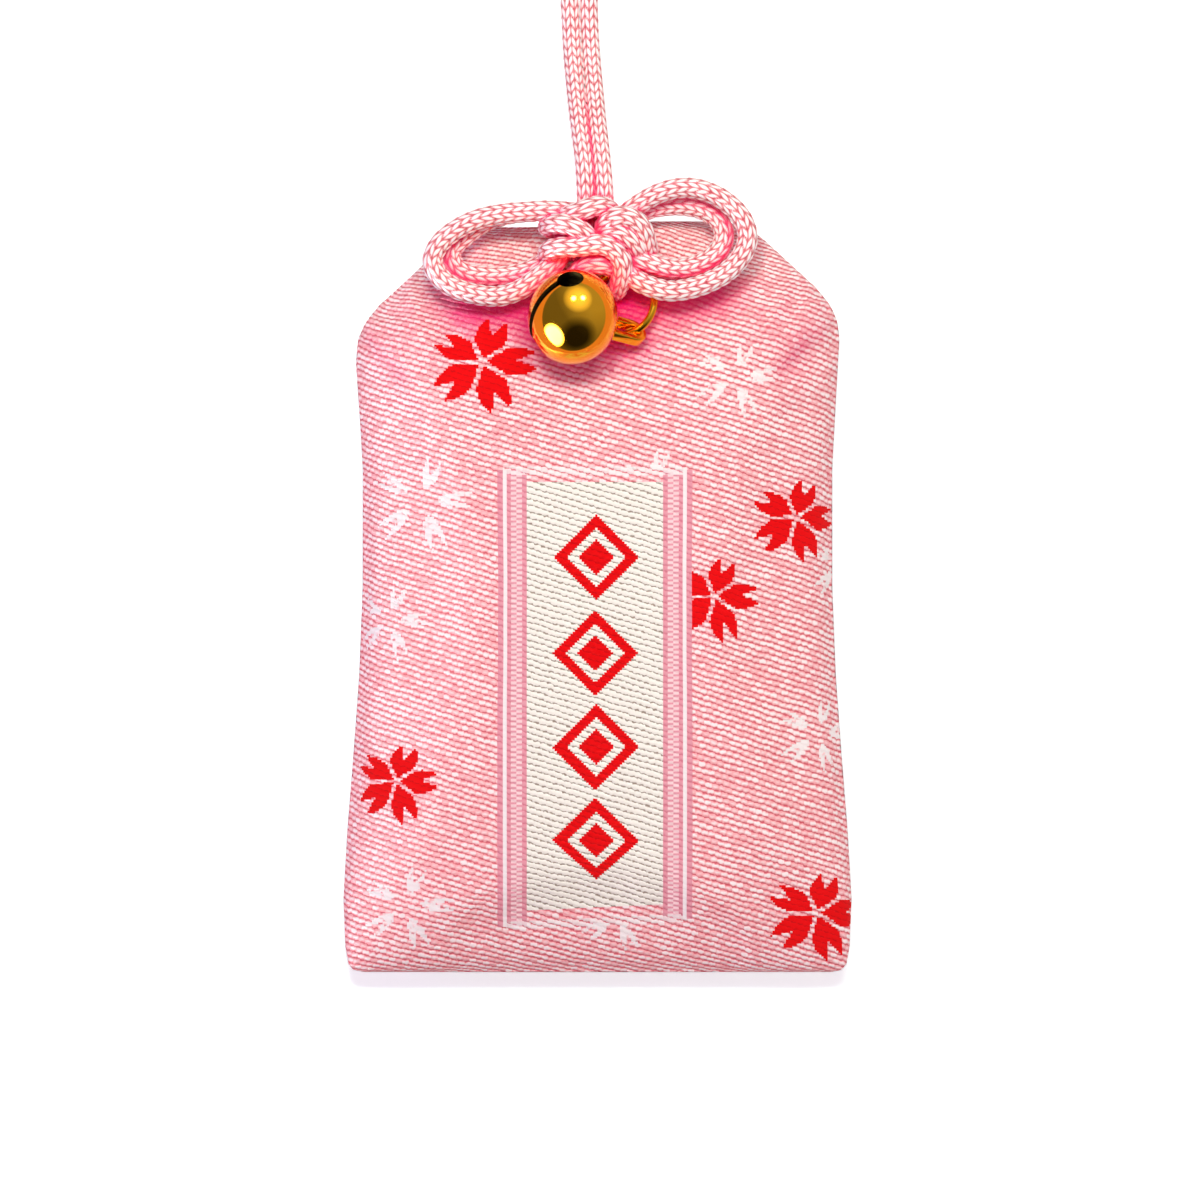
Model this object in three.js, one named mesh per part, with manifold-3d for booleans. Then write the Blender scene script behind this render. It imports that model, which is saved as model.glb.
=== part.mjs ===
// Omamori charm: a sewn brocade bag with its filling, tied with a double knot, two double bows and a small bell.
// Millimetres. The charm lies on its back: X across, Y towards the cord, Z up out of the front cloth.
import * as THREE from 'three';
import { mergeVertices } from 'three/addons/utils/BufferGeometryUtils.js';
import Module from 'manifold-3d';

const wasm = await Module();
wasm.setup();

// Bag
const BASE_HALF_WIDTH = 25;
const WAIST_HALF_WIDTH = 23.1;
const SHOULDER_HALF_WIDTH = 23.8;
const MOUTH_HALF_WIDTH = 14.4;
const BAG_BOTTOM = -39;
const BAG_TOP = 34.8;
const SHOULDER_DROP = 8.6;
const LEFT_SHOULDER_DROP = 1.8;
const BASE_CORNER = 2;
const SHOULDER_CORNER = 3;
const CLOTH_THICKNESS = 0.7;
const SEAM_HEIGHT = 3.2;
const SEAM_GAP = 0.3;
const FRONT_CROWN = 4.8;
const MOUTH_GAPE = 1;
const MOUTH_SEAM_RISE = 0.5;
const MOUTH_PRESS = 0.3;
const BACK_LIFT = 2.3;
const LIFT_LENGTH = 7.5;
const KNOT_REACH = 14.8;

// Filling
const FIT = 0.3;
const CARD_WIDTH = 32;
const CARD_LENGTH = 48;
const CARD_THICKNESS = 0.8;
const CARD_CHAMFER = 5;
const WRAPPER_WIDTH = 24;
const WRAPPER_LENGTH = 45;
const WRAPPER_THICKNESS = 2.6;
const PAPER = 0.3;
const SLIP_SIDE_ROOM = 0.9;
const SLIP_END_ROOM = 2.4;
const SLIP_FACE_ROOM = 0.4;
const FILLING_BOTTOM = -31;
const PAD_INSET = 3.6;
const PAD_EDGE = 0.9;

// Cord, narrower where the knot squeezes it
const CORD_DIAMETER = 1.7;
const KNOT_CORD_DIAMETER = 1.5;
const HOLE_CLEARANCE = 0.35;
const RIGHT_HOLE_X = 1.8;
const RIGHT_HOLE_DROP = 6.6;
const LEFT_HOLE_X = -2.2;
const LEFT_HOLE_DROP = 5.6;
const LOOP_HALF_SPACING = 1.07;
const TABLE_CLEARANCE = 0.1;

// Ring and bell
const RING_RADIUS = 3.24;
const RING_WIRE = 0.6;
const RING_JOIN = 0.15;
const BELL_HALF_WIDTH = 4.65;
const BELL_HALF_LENGTH = 4.3;
const BELL_WALL = 0.4;
const EAR_REACH = 2.6;
const EAR_OPENING = 1.8;
const EAR_WIRE = 0.5;
const SLIT_WIDTH = 0.8;
const SLIT_END_HOLE = 2.4;
const SLIT_END_ANGLE = 60;
const SLIT_TURN = 72;
const PELLET_DIAMETER = 2.6;

// Derived places
const centreY = (BAG_TOP + BAG_BOTTOM) / 2;
const shoulderY = BAG_TOP - SHOULDER_DROP;
const liftEnd = BAG_TOP - RIGHT_HOLE_DROP - KNOT_CORD_DIAMETER / 2;
const liftStart = liftEnd - LIFT_LENGTH;
const fillingTop = liftStart - 0.5;

const smoothstep = THREE.MathUtils.smoothstep;
const vector = (x, y, z) => new THREE.Vector3(x, y, z);

// Solids: welded, without needle triangles, faces outwards

function weld(geometry) {
  const bare = geometry.clone();
  bare.deleteAttribute('normal');
  bare.deleteAttribute('uv');
  const merged = mergeVertices(bare, 1e-4);
  const index = merged.index.array;
  const kept = [];
  for (let i = 0; i < index.length; i += 3) {
    const [a, b, c] = [index[i], index[i + 1], index[i + 2]];
    if (a !== b && b !== c && c !== a) kept.push(a, b, c);
  }
  merged.setIndex(kept);
  return faceOutwards(merged);
}

function faceOutwards(geometry) {
  const position = geometry.attributes.position;
  const index = geometry.index.array;
  const corner = (i) => new THREE.Vector3().fromBufferAttribute(position, index[i]);
  let volume = 0;
  for (let i = 0; i < index.length; i += 3) {
    volume += corner(i).dot(corner(i + 1).cross(corner(i + 2)));
  }
  if (volume < 0) geometry.setIndex(Array.from(index).reverse());
  return geometry;
}

function toSolid(geometry) {
  const welded = weld(geometry);
  return new wasm.Manifold(new wasm.Mesh({
    numProp: 3,
    vertProperties: Float32Array.from(welded.attributes.position.array),
    triVerts: Uint32Array.from(welded.index.array),
  }));
}

function toGeometry(solid) {
  const mesh = solid.getMesh();
  const geometry = new THREE.BufferGeometry();
  geometry.setAttribute('position', new THREE.BufferAttribute(Float32Array.from(mesh.vertProperties), 3));
  geometry.setIndex(Array.from(mesh.triVerts));
  return geometry;
}

function piece(name, geometry, material) {
  const welded = weld(geometry);
  welded.computeVertexNormals();
  const mesh = new THREE.Mesh(welded, material);
  mesh.name = name;
  return mesh;
}

// Bag outline: one side drawn for positive X, the left side mirrored with its shoulder set lower

function addStraight(path, x, y, pieces) {
  const start = path.currentPoint.clone();
  for (let i = 1; i <= pieces; i += 1) {
    path.lineTo(start.x + ((x - start.x) * i) / pieces, start.y + ((y - start.y) * i) / pieces);
  }
}

function sidePoints(drop) {
  const path = new THREE.Path();
  const shoulder = new THREE.Vector2(SHOULDER_HALF_WIDTH, shoulderY - drop);
  const mouth = new THREE.Vector2(MOUTH_HALF_WIDTH, BAG_TOP - drop);
  const slope = mouth.clone().sub(shoulder).normalize().multiplyScalar(SHOULDER_CORNER);
  const span = shoulder.y - BAG_BOTTOM;
  path.moveTo(0, BAG_BOTTOM);
  addStraight(path, BASE_HALF_WIDTH - BASE_CORNER, BAG_BOTTOM, 6);
  path.quadraticCurveTo(BASE_HALF_WIDTH - 0.4, BAG_BOTTOM, BASE_HALF_WIDTH - 0.2, BAG_BOTTOM + BASE_CORNER);
  path.splineThru([
    new THREE.Vector2(BASE_HALF_WIDTH, BAG_BOTTOM + 0.11 * span),
    new THREE.Vector2((BASE_HALF_WIDTH + WAIST_HALF_WIDTH) / 2, BAG_BOTTOM + 0.32 * span),
    new THREE.Vector2(WAIST_HALF_WIDTH, BAG_BOTTOM + 0.58 * span),
    new THREE.Vector2(WAIST_HALF_WIDTH, BAG_BOTTOM + 0.76 * span),
    new THREE.Vector2(SHOULDER_HALF_WIDTH, shoulder.y - SHOULDER_CORNER),
  ]);
  path.quadraticCurveTo(shoulder.x, shoulder.y, shoulder.x + slope.x, shoulder.y + slope.y);
  addStraight(path, mouth.x - slope.x, mouth.y - slope.y, 3);
  path.quadraticCurveTo(mouth.x, mouth.y, mouth.x - SHOULDER_CORNER, mouth.y);
  addStraight(path, 0, BAG_TOP - LEFT_SHOULDER_DROP / 2, 4);
  return path.getPoints(3);
}

function bagOutline(inset) {
  const right = sidePoints(0);
  const left = sidePoints(LEFT_SHOULDER_DROP).map((point) => new THREE.Vector2(-point.x, point.y));
  const outline = right.concat(left.slice(1, -1).reverse());
  return outline.map((point, i) => {
    const before = outline[(i + outline.length - 1) % outline.length];
    const after = outline[(i + 1) % outline.length];
    const inwards = new THREE.Vector2(before.y - after.y, after.x - before.x).normalize();
    return point.clone().addScaledVector(inwards, inset);
  });
}

// Share of the way from the bag's middle to an outline, 1 on the outline
function shareOf(outline, x, y) {
  const dx = x;
  const dy = y - centreY;
  for (let i = 0; i < outline.length; i += 1) {
    const a = outline[i];
    const b = outline[(i + 1) % outline.length];
    const ex = b.x - a.x;
    const ey = b.y - a.y;
    const cross = dx * ey - dy * ex;
    if (Math.abs(cross) < 1e-9) continue;
    const along = (a.x * ey - (a.y - centreY) * ex) / cross;
    const across = (a.x * dy - (a.y - centreY) * dx) / cross;
    if (along > 0 && across >= 0 && across <= 1) return 1 / along;
  }
  return 0;
}

const outerOutline = bagOutline(0);
const innerOutline = bagOutline(CLOTH_THICKNESS);

// Bag surfaces as heights over the table

const lift = (y) => smoothstep(y, liftStart, liftEnd);
const seamLine = (y) => SEAM_HEIGHT + MOUTH_SEAM_RISE * lift(y);

function mouthOpening(x, y) {
  const inside = smoothstep(MOUTH_HALF_WIDTH - Math.abs(x), 0, 4);
  return (MOUTH_GAPE / 2) * inside * smoothstep(y, BAG_TOP - 5, BAG_TOP - 1);
}

function frontHeight(x, y, share, crown) {
  const press = 1 - MOUTH_PRESS * smoothstep(y, BAG_TOP - 2 - KNOT_REACH, BAG_TOP - 2);
  const rim = seamLine(y) + SEAM_GAP / 2 + mouthOpening(x, y);
  return rim + crown * press * Math.sqrt(Math.max(0, 1 - share ** 4));
}

function backHeight(x, y, share, floor) {
  const rim = seamLine(y) - SEAM_GAP / 2 - mouthOpening(x, y);
  const depth = Math.min(1, 1.15 * Math.sqrt(Math.max(0, 1 - share ** 6)));
  const bottom = floor + BACK_LIFT * lift(y);
  return rim + (bottom - rim) * depth;
}

const frontCloth = (x, y) => frontHeight(x, y, shareOf(outerOutline, x, y), FRONT_CROWN);

// Solid between two height fields, each over its own outline, in rings round the bag's middle
function pillow(topOutline, topHeight, bottomOutline, bottomHeight) {
  const shares = [1, 0.985, 0.95, 0.89, 0.79, 0.65, 0.45, 0.2];
  const count = topOutline.length;
  const positions = [];
  const faces = [];
  const addSide = (outline, height) => {
    const first = positions.length / 3;
    for (const share of shares) {
      for (const point of outline) {
        const x = point.x * share;
        const y = centreY + (point.y - centreY) * share;
        positions.push(x, y, height(x, y, share));
      }
    }
    positions.push(0, centreY, height(0, centreY, 0));
    return first;
  };
  const top = addSide(topOutline, topHeight);
  const bottom = addSide(bottomOutline, bottomHeight);
  const addQuad = (a, b, c, d) => faces.push(a, b, c, a, c, d);
  const last = (shares.length - 1) * count;
  for (let i = 0; i < count; i += 1) {
    const j = (i + 1) % count;
    for (let ring = 0; ring < last; ring += count) {
      addQuad(top + ring + i, top + ring + j, top + ring + count + j, top + ring + count + i);
      addQuad(bottom + ring + j, bottom + ring + i, bottom + ring + count + i, bottom + ring + count + j);
    }
    faces.push(top + last + i, top + last + j, top + last + count);
    faces.push(bottom + last + j, bottom + last + i, bottom + last + count);
    addQuad(bottom + i, bottom + j, top + j, top + i);
  }
  const geometry = new THREE.BufferGeometry();
  geometry.setAttribute('position', new THREE.Float32BufferAttribute(positions, 3));
  geometry.setIndex(faces);
  return geometry;
}

// The knot is laid out from the mouth's edge and the cloth where the cord goes into the bag
const rightHole = new THREE.Vector2(RIGHT_HOLE_X, BAG_TOP - RIGHT_HOLE_DROP);
const leftHole = new THREE.Vector2(LEFT_HOLE_X, BAG_TOP - LEFT_HOLE_DROP);
const knotOrigin = vector(0, BAG_TOP, frontCloth(rightHole.x, rightHole.y));

function withCordHoles(geometry) {
  const through = 4 * (SEAM_HEIGHT + FRONT_CROWN);
  let panel = toSolid(geometry);
  for (const hole of [rightHole, leftHole]) {
    const radius = KNOT_CORD_DIAMETER / 2 + HOLE_CLEARANCE;
    const cutter = new THREE.CylinderGeometry(radius, radius, through, 12);
    cutter.rotateX(Math.PI / 2);
    cutter.translate(hole.x, hole.y, 0);
    panel = panel.subtract(toSolid(cutter));
  }
  return toGeometry(panel);
}

function frontPanel() {
  const outer = (x, y, share) => frontHeight(x, y, share, FRONT_CROWN);
  const inner = (x, y, share) => frontHeight(x, y, share, FRONT_CROWN - CLOTH_THICKNESS);
  return withCordHoles(pillow(outerOutline, outer, innerOutline, inner));
}

function backPanel() {
  const outer = (x, y, share) => backHeight(x, y, share, 0);
  const inner = (x, y, share) => backHeight(x, y, share, CLOTH_THICKNESS);
  return withCordHoles(pillow(innerOutline, inner, outerOutline, outer));
}

// Filling, stacked on the back panel

const cardBottom = CLOTH_THICKNESS + FIT;
const wrapperBottom = cardBottom + CARD_THICKNESS + FIT;
const wrapperTop = wrapperBottom + WRAPPER_THICKNESS;

function block(width, length, thickness, bottomY, bottomZ) {
  const geometry = new THREE.BoxGeometry(width, length, thickness);
  geometry.translate(0, bottomY + length / 2, bottomZ + thickness / 2);
  return geometry;
}

function stiffeningCard() {
  const half = CARD_WIDTH / 2;
  const top = FILLING_BOTTOM + CARD_LENGTH;
  const shape = new THREE.Shape();
  shape.moveTo(-half, FILLING_BOTTOM);
  shape.lineTo(half, FILLING_BOTTOM);
  shape.lineTo(half, top - CARD_CHAMFER);
  shape.lineTo(half - CARD_CHAMFER, top);
  shape.lineTo(CARD_CHAMFER - half, top);
  shape.lineTo(-half, top - CARD_CHAMFER);
  const geometry = new THREE.ExtrudeGeometry(shape, { depth: CARD_THICKNESS, bevelEnabled: false });
  geometry.translate(0, 0, cardBottom);
  return geometry;
}

const wrapperY = FILLING_BOTTOM + (CARD_LENGTH - WRAPPER_LENGTH) / 2;

function slipWrapper() {
  const outside = block(WRAPPER_WIDTH, WRAPPER_LENGTH, WRAPPER_THICKNESS, wrapperY, wrapperBottom);
  const hollowThickness = WRAPPER_THICKNESS - 2 * PAPER;
  const hollow = block(WRAPPER_WIDTH - 2 * PAPER, WRAPPER_LENGTH, hollowThickness, wrapperY + PAPER, wrapperBottom + PAPER);
  return toGeometry(toSolid(outside).subtract(toSolid(hollow)));
}

function prayerSlip() {
  const width = WRAPPER_WIDTH - 2 * (PAPER + SLIP_SIDE_ROOM);
  const length = WRAPPER_LENGTH - PAPER - FIT - SLIP_END_ROOM;
  const thickness = WRAPPER_THICKNESS - 2 * (PAPER + SLIP_FACE_ROOM);
  return block(width, length, thickness, wrapperY + PAPER + FIT, wrapperBottom + PAPER + SLIP_FACE_ROOM);
}

function wadding() {
  const outline = bagOutline(PAD_INSET).map((point) => new THREE.Vector2(point.x, Math.min(point.y, fillingTop + 3)));
  const top = (x, y, share) => {
    const room = frontHeight(x, y, shareOf(innerOutline, x, y), FRONT_CROWN - CLOTH_THICKNESS) - FIT;
    const edge = wrapperBottom + PAD_EDGE;
    return edge + (room - edge) * Math.sqrt(Math.max(0, 1 - share ** 4));
  };
  const pad = pillow(outline, top, outline, () => wrapperBottom);
  const pocketHeight = wrapperTop + FIT - (wrapperBottom - 1);
  const pocket = block(WRAPPER_WIDTH + 2 * FIT, WRAPPER_LENGTH + 2 * FIT, pocketHeight, wrapperY - FIT, wrapperBottom - 1);
  return toGeometry(toSolid(pad).subtract(toSolid(pocket)));
}

// Cord: round tubes along routes given from the knot's origin

function route(points) {
  return new THREE.CatmullRomCurve3(points.map(([x, y, z]) => vector(x, y, z)));
}

function tube(curve, diameter, sides, steps) {
  const ring = [];
  for (let i = 0; i < sides; i += 1) {
    const angle = (2 * Math.PI * i) / sides;
    ring.push(new THREE.Vector2(Math.cos(angle), Math.sin(angle)).multiplyScalar(diameter / 2));
  }
  return new THREE.ExtrudeGeometry(new THREE.Shape(ring), { steps, extrudePath: curve, bevelEnabled: false });
}

function leastGap(curve, diameter) {
  const points = curve.getSpacedPoints(240);
  const apart = Math.ceil((2.6 * diameter * 240) / curve.getLength());
  let least = Infinity;
  for (let i = 0; i < points.length; i += 1) {
    for (let j = i + apart; j < points.length; j += 1) {
      least = Math.min(least, points[i].distanceTo(points[j]) - diameter);
    }
  }
  return least;
}

const leftBowRoute = [
  [-3.2, 1.4, 3.8], [-5, 1.5, 3.7], [-7, 1.4, 3.5], [-9.2, 1.2, 3.3], [-11.6, 0.6, 3.2], [-13.8, -0.6, 3.1],
  [-15.5, -2.2, 3], [-16.1, -3.7, 2.9], [-15.6, -5.1, 2.9], [-14.1, -6.3, 2.9], [-12, -7, 3], [-9.6, -7.2, 3.1],
  [-7.6, -6.6, 3.2], [-6, -5.5, 3.2], [-4.6, -4.4, 3], [-3.6, -3.2, 2.7], [-3.2, -1.8, 2.6], [-3.6, -0.3, 1.9],
  [-4.9, 0.8, 1.4], [-6.8, 0.8, 1.3], [-8.8, 0.2, 1.2], [-11, -0.6, 1.1], [-13, -1.8, 1], [-14.1, -3.2, 1],
  [-13.9, -4.4, 1], [-12.7, -5.2, 1], [-11, -5.6, 1], [-9.2, -5.6, 1], [-7.6, -5.3, 1], [-6.2, -4.8, 1],
];
const rightBowRoute = [
  [3.2, 1.3, 3.2], [4.4, 2, 3.3], [5.9, 2.8, 3.4], [7.6, 3.3, 3.4], [9.3, 3.35, 3.3], [11, 2.9, 3.3],
  [12.7, 1.9, 3.2], [14.1, 0.4, 3.1], [14.65, -1.3, 3.1], [14.2, -3, 3.1], [12.9, -4.6, 3.2], [11, -5.8, 3.5],
  [9, -6.5, 3.9], [7, -6.75, 4.2], [5.4, -6.3, 4.1], [4.2, -5.4, 3.6], [3.5, -4.3, 3.1], [3.1, -3, 2.7],
  [2.9, -1.8, 2.4], [3, -0.6, 1.7], [3.6, 0.5, 1.25], [4.8, 1.3, 1.1], [6.6, 1.7, 1], [8.8, 1.7, 1.1],
  [10.6, 1.2, 1.2], [11.9, 0.2, 1.4], [12.4, -1.2, 1.6], [12, -2.5, 1.8], [10.7, -3.7, 2], [8.9, -4.3, 2.2],
  [7.2, -4.5, 2.3], [5.8, -4.2, 2.3],
];
// Two wraps on the left, the bar across the front, down through the bag, across its back and up again
const leftStrandRoute = [
  [-1, -0.6, -0.3], [-3, -0.7, 0], [-4.9, -0.9, 0.4], [-5.9, -1.1, 1.6], [-5.95, -1.1, 3], [-5.4, -0.9, 4.3],
  [-4.2, -0.6, 5.1], [-2.8, -0.5, 5.3], [-1.7, -0.6, 4.8], [-1.25, -1, 3.8], [-1.2, -1.5, 2.5], [-1.6, -2.2, 1.2],
  [-3, -2.7, 0.6], [-4.8, -2.9, 0.7], [-5.85, -3.05, 1.8], [-5.9, -3.05, 3.1], [-5.3, -2.8, 4.4], [-4.1, -2.6, 5.2],
  [-2.6, -2.6, 5.4], [-1, -2.9, 5.4], [0.4, -3.3, 5.3], [1.4, -4, 5], [1.85, -5, 4.3], [1.85, -6, 3.4],
  [1.8, -6.5, 2.3], [1.8, -6.6, 0.8], [1.8, -6.6, -1.8], [1.7, -6.6, -3.8], [1, -6.45, -5.1], [-0.2, -6.1, -5.3],
  [-1.4, -5.75, -5.1], [-2.1, -5.6, -3.8], [-2.2, -5.6, -1.8], [-2.2, -5.6, 0.5], [-2.1, -5.2, 1.7],
  [-1.8, -4.5, 2.5], [-1.4, -3.8, 3],
];
// Two wraps on the right
const rightStrandRoute = [
  [1.4, -0.3, -0.4], [3, -0.3, -0.5], [4.6, -0.6, -0.1], [5.55, -0.6, 1.4], [5.55, -0.5, 2.9], [5, 0.1, 4.3],
  [3.8, 0.6, 5.1], [2.4, 0.8, 5.3], [1.3, 0.5, 5], [0.8, -0.2, 4.1], [0.8, -1.1, 2.8], [1.2, -1.8, 1.5],
  [2.5, -2.3, 0.6], [4.2, -2.5, 0.7], [5.3, -2.5, 1.8], [5.4, -2.4, 3.1], [4.9, -2.1, 4.4], [3.9, -1.6, 5.1],
  [2.9, -1.3, 5.3], [2, -1.3, 5.3],
];
// The bight of the hanging loop inside the knot
const loopMiddleX = -0.43;
const loopLeftX = loopMiddleX - LOOP_HALF_SPACING;
const loopRightX = loopMiddleX + LOOP_HALF_SPACING;
const loopRootRoute = [
  [loopLeftX, 1.45, 2.5], [loopLeftX, 0.8, 2.2], [-1.05, 0.25, 1.6], [loopMiddleX, 0.1, 1.35],
  [0.19, 0.25, 1.6], [loopRightX, 0.8, 2.2], [loopRightX, 1.45, 2.5],
];
// The hanging loop leaves the knot, falls to the table and lies there
const onTable = CORD_DIAMETER / 2 + TABLE_CLEARANCE - knotOrigin.z;
const hangingLoopRoute = [
  [loopLeftX, 2.6, 2.5], [-1.6, 5.7, 1.9], [-1.95, 9.2, -0.1], [-2.35, 13.2, -2.8], [-2.7, 17.2, onTable + 0.6],
  [-2.9, 21.7, onTable], [-3.3, 31, onTable], [-3.9, 43, onTable], [-5.2, 55, onTable], [-6, 61, onTable],
  [-5.4, 65.5, onTable], [-2.8, 67.6, onTable], [-0.1, 65.8, onTable], [0.6, 61.5, onTable], [0.1, 55, onTable],
  [-0.4, 43, onTable], [-0.6, 31, onTable], [-0.62, 21.7, onTable], [-0.45, 17.2, onTable + 0.6],
  [-0.1, 13.2, -2.8], [0.25, 9.2, -0.1], [0.55, 5.7, 1.9], [loopRightX, 2.6, 2.5],
];

// Jump ring round the right tail of the cord; its eye side carries the bell's ear
const ringCentre = vector(rightHole.x + 0.6, rightHole.y - BAG_TOP - 1.6, 1.9);
const ringToEye = vector(0.308, -0.894, 0.324).normalize();
const ringAcross = vector(0.915, 0.372, 0.156).normalize();
const eye = ringCentre.clone().addScaledVector(ringToEye, RING_RADIUS);

function jumpRing() {
  const start = 2.4;
  const turn = 2 * Math.PI - RING_JOIN / RING_RADIUS;
  const points = [];
  for (let i = 0; i <= 40; i += 1) {
    const angle = start + (turn * i) / 40;
    const point = ringCentre.clone();
    point.addScaledVector(ringToEye, RING_RADIUS * Math.cos(angle));
    point.addScaledVector(ringAcross, RING_RADIUS * Math.sin(angle));
    points.push(point);
  }
  return tube(new THREE.CatmullRomCurve3(points), RING_WIRE, 8, 40);
}

// Bell in its own frame: Z along the ear, X across the ear's loop

const earAxis = vector(0.838, -0.202, -0.506).normalize();
const earNormal = ringAcross.clone().addScaledVector(earAxis, -ringAcross.dot(earAxis)).normalize();
const earSide = earNormal.clone().cross(earAxis);
const bellCentre = eye.clone().addScaledVector(earAxis, -(BELL_HALF_LENGTH + EAR_REACH));
const bellTurn = new THREE.Quaternion().setFromRotationMatrix(
  new THREE.Matrix4().makeBasis(earSide, earAxis.clone().cross(earSide), earAxis),
);

function spheroid(halfWidth, halfLength) {
  const profile = [];
  for (let i = 0; i <= 16; i += 1) {
    const angle = (Math.PI * i) / 16;
    const radius = i === 0 || i === 16 ? 0 : halfWidth * Math.sin(angle);
    profile.push(new THREE.Vector2(radius, -halfLength * Math.cos(angle)));
  }
  const geometry = new THREE.LatheGeometry(profile, 32);
  geometry.rotateX(Math.PI / 2);
  return geometry;
}

function bellEar() {
  const half = (EAR_OPENING + EAR_WIRE) / 2;
  const footHeight = (BELL_HALF_LENGTH - BELL_WALL / 2) * Math.sqrt(1 - (half / BELL_HALF_WIDTH) ** 2);
  const top = BELL_HALF_LENGTH + EAR_REACH;
  const points = [vector(half, 0, footHeight), vector(half, 0, (footHeight + top) / 2)];
  for (let i = 0; i <= 10; i += 1) {
    const angle = (Math.PI * i) / 10;
    points.push(vector(half * Math.cos(angle), 0, top + half * Math.sin(angle)));
  }
  points.push(vector(-half, 0, (footHeight + top) / 2), vector(-half, 0, footHeight));
  return tube(new THREE.CatmullRomCurve3(points), EAR_WIRE, 8, 28);
}

function bellShell() {
  const inside = spheroid(BELL_HALF_WIDTH - BELL_WALL, BELL_HALF_LENGTH - BELL_WALL);
  const tilt = THREE.MathUtils.degToRad(SLIT_END_ANGLE);
  const turn = THREE.MathUtils.degToRad(SLIT_TURN);
  const slitTop = -BELL_HALF_LENGTH * Math.cos(tilt);
  const slit = new THREE.BoxGeometry(2 * BELL_HALF_WIDTH * Math.sin(tilt), SLIT_WIDTH, BELL_HALF_LENGTH);
  slit.translate(0, 0, slitTop - BELL_HALF_LENGTH / 2);
  slit.rotateZ(turn);
  let shell = toSolid(spheroid(BELL_HALF_WIDTH, BELL_HALF_LENGTH)).subtract(toSolid(inside));
  shell = shell.subtract(toSolid(slit));
  for (const side of [-1, 1]) {
    const hole = new THREE.CylinderGeometry(SLIT_END_HOLE / 2, SLIT_END_HOLE / 2, BELL_HALF_WIDTH, 16);
    hole.rotateX(-Math.PI / 2);
    hole.translate(0, 0, -BELL_HALF_WIDTH);
    hole.rotateY(-side * tilt);
    hole.rotateZ(turn);
    shell = shell.subtract(toSolid(hole));
  }
  return toGeometry(shell.add(toSolid(bellEar())));
}

// The pellet lies on the lowest point of the bell's inside
function pelletPlace() {
  const restHeight = BELL_HALF_LENGTH - BELL_WALL - FIT - PELLET_DIAMETER / 2;
  return bellCentre.clone().add(vector(0, 0, -restHeight));
}

// Materials

const surface = (color, roughness, metalness) => new THREE.MeshStandardMaterial({ color, roughness, metalness });
const brocade = surface(0xf2a5b8, 0.6, 0);
const paddingCloth = surface(0xf4f1ea, 0.95, 0);
const cardboard = surface(0xb9a58a, 0.9, 0);
const paper = surface(0xf3ecd8, 0.9, 0);
const wood = surface(0xdcbf8e, 0.7, 0);
const silk = surface(0xf5b4b8, 0.5, 0);
const gold = surface(0xd8a22b, 0.15, 1);
const ringGold = surface(0xcfa045, 0.25, 1);
const steel = surface(0x8c8f93, 0.35, 1);

// Assembly

const charm = new THREE.Group();
charm.add(
  piece('front_panel', frontPanel(), brocade),
  piece('back_panel', backPanel(), brocade),
  piece('wadding', wadding(), paddingCloth),
  piece('stiffening_card', stiffeningCard(), cardboard),
  piece('slip_wrapper', slipWrapper(), paper),
  piece('prayer_slip', prayerSlip(), wood),
);

const knot = new THREE.Group();
knot.position.copy(knotOrigin);
charm.add(knot);

const cords = [
  ['left_bow', leftBowRoute, CORD_DIAMETER, 6, 66],
  ['right_bow', rightBowRoute, CORD_DIAMETER, 6, 64],
  ['knot_left_strand', leftStrandRoute, KNOT_CORD_DIAMETER, 6, 84],
  ['knot_right_strand', rightStrandRoute, KNOT_CORD_DIAMETER, 6, 44],
  ['loop_root', loopRootRoute, KNOT_CORD_DIAMETER, 8, 12],
  ['hanging_loop', hangingLoopRoute, CORD_DIAMETER, 8, 72],
];
for (const [name, points, diameter, sides, steps] of cords) {
  const curve = route(points);
  knot.add(piece(name, tube(curve, diameter, sides, steps), silk));
  console.log(name, 'length', curve.getLength().toFixed(1), 'least gap', leastGap(curve, diameter).toFixed(2));
}

knot.add(piece('jump_ring', jumpRing(), ringGold));

const bell = new THREE.Group();
bell.position.copy(bellCentre);
bell.quaternion.copy(bellTurn);
bell.add(piece('bell_shell', bellShell(), gold));
knot.add(bell);

const pellet = piece('bell_pellet', new THREE.SphereGeometry(PELLET_DIAMETER / 2, 16, 10), steel);
pellet.position.copy(pelletPlace());
knot.add(pellet);

export default charm;
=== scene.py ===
"""Omamori charm on a white table, seen from straight above: the part dressed in cloth, cord and gold."""

import math

import bpy
import numpy as np
from mathutils import Matrix, Vector


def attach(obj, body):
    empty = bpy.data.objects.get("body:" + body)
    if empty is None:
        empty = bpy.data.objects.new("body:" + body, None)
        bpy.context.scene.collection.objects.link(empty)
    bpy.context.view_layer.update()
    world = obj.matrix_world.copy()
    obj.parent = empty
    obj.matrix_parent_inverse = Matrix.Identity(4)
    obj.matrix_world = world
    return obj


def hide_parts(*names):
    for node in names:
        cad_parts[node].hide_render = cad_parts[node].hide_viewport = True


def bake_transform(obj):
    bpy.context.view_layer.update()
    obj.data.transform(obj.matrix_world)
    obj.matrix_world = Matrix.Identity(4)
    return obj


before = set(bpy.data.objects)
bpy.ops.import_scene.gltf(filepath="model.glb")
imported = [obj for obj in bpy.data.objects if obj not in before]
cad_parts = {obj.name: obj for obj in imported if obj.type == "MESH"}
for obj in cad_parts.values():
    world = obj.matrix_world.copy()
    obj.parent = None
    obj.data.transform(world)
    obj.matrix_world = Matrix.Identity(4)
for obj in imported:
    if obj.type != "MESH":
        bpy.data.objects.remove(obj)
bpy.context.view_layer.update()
bpy.ops.object.select_all(action="DESELECT")

MM = 0.001

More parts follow.
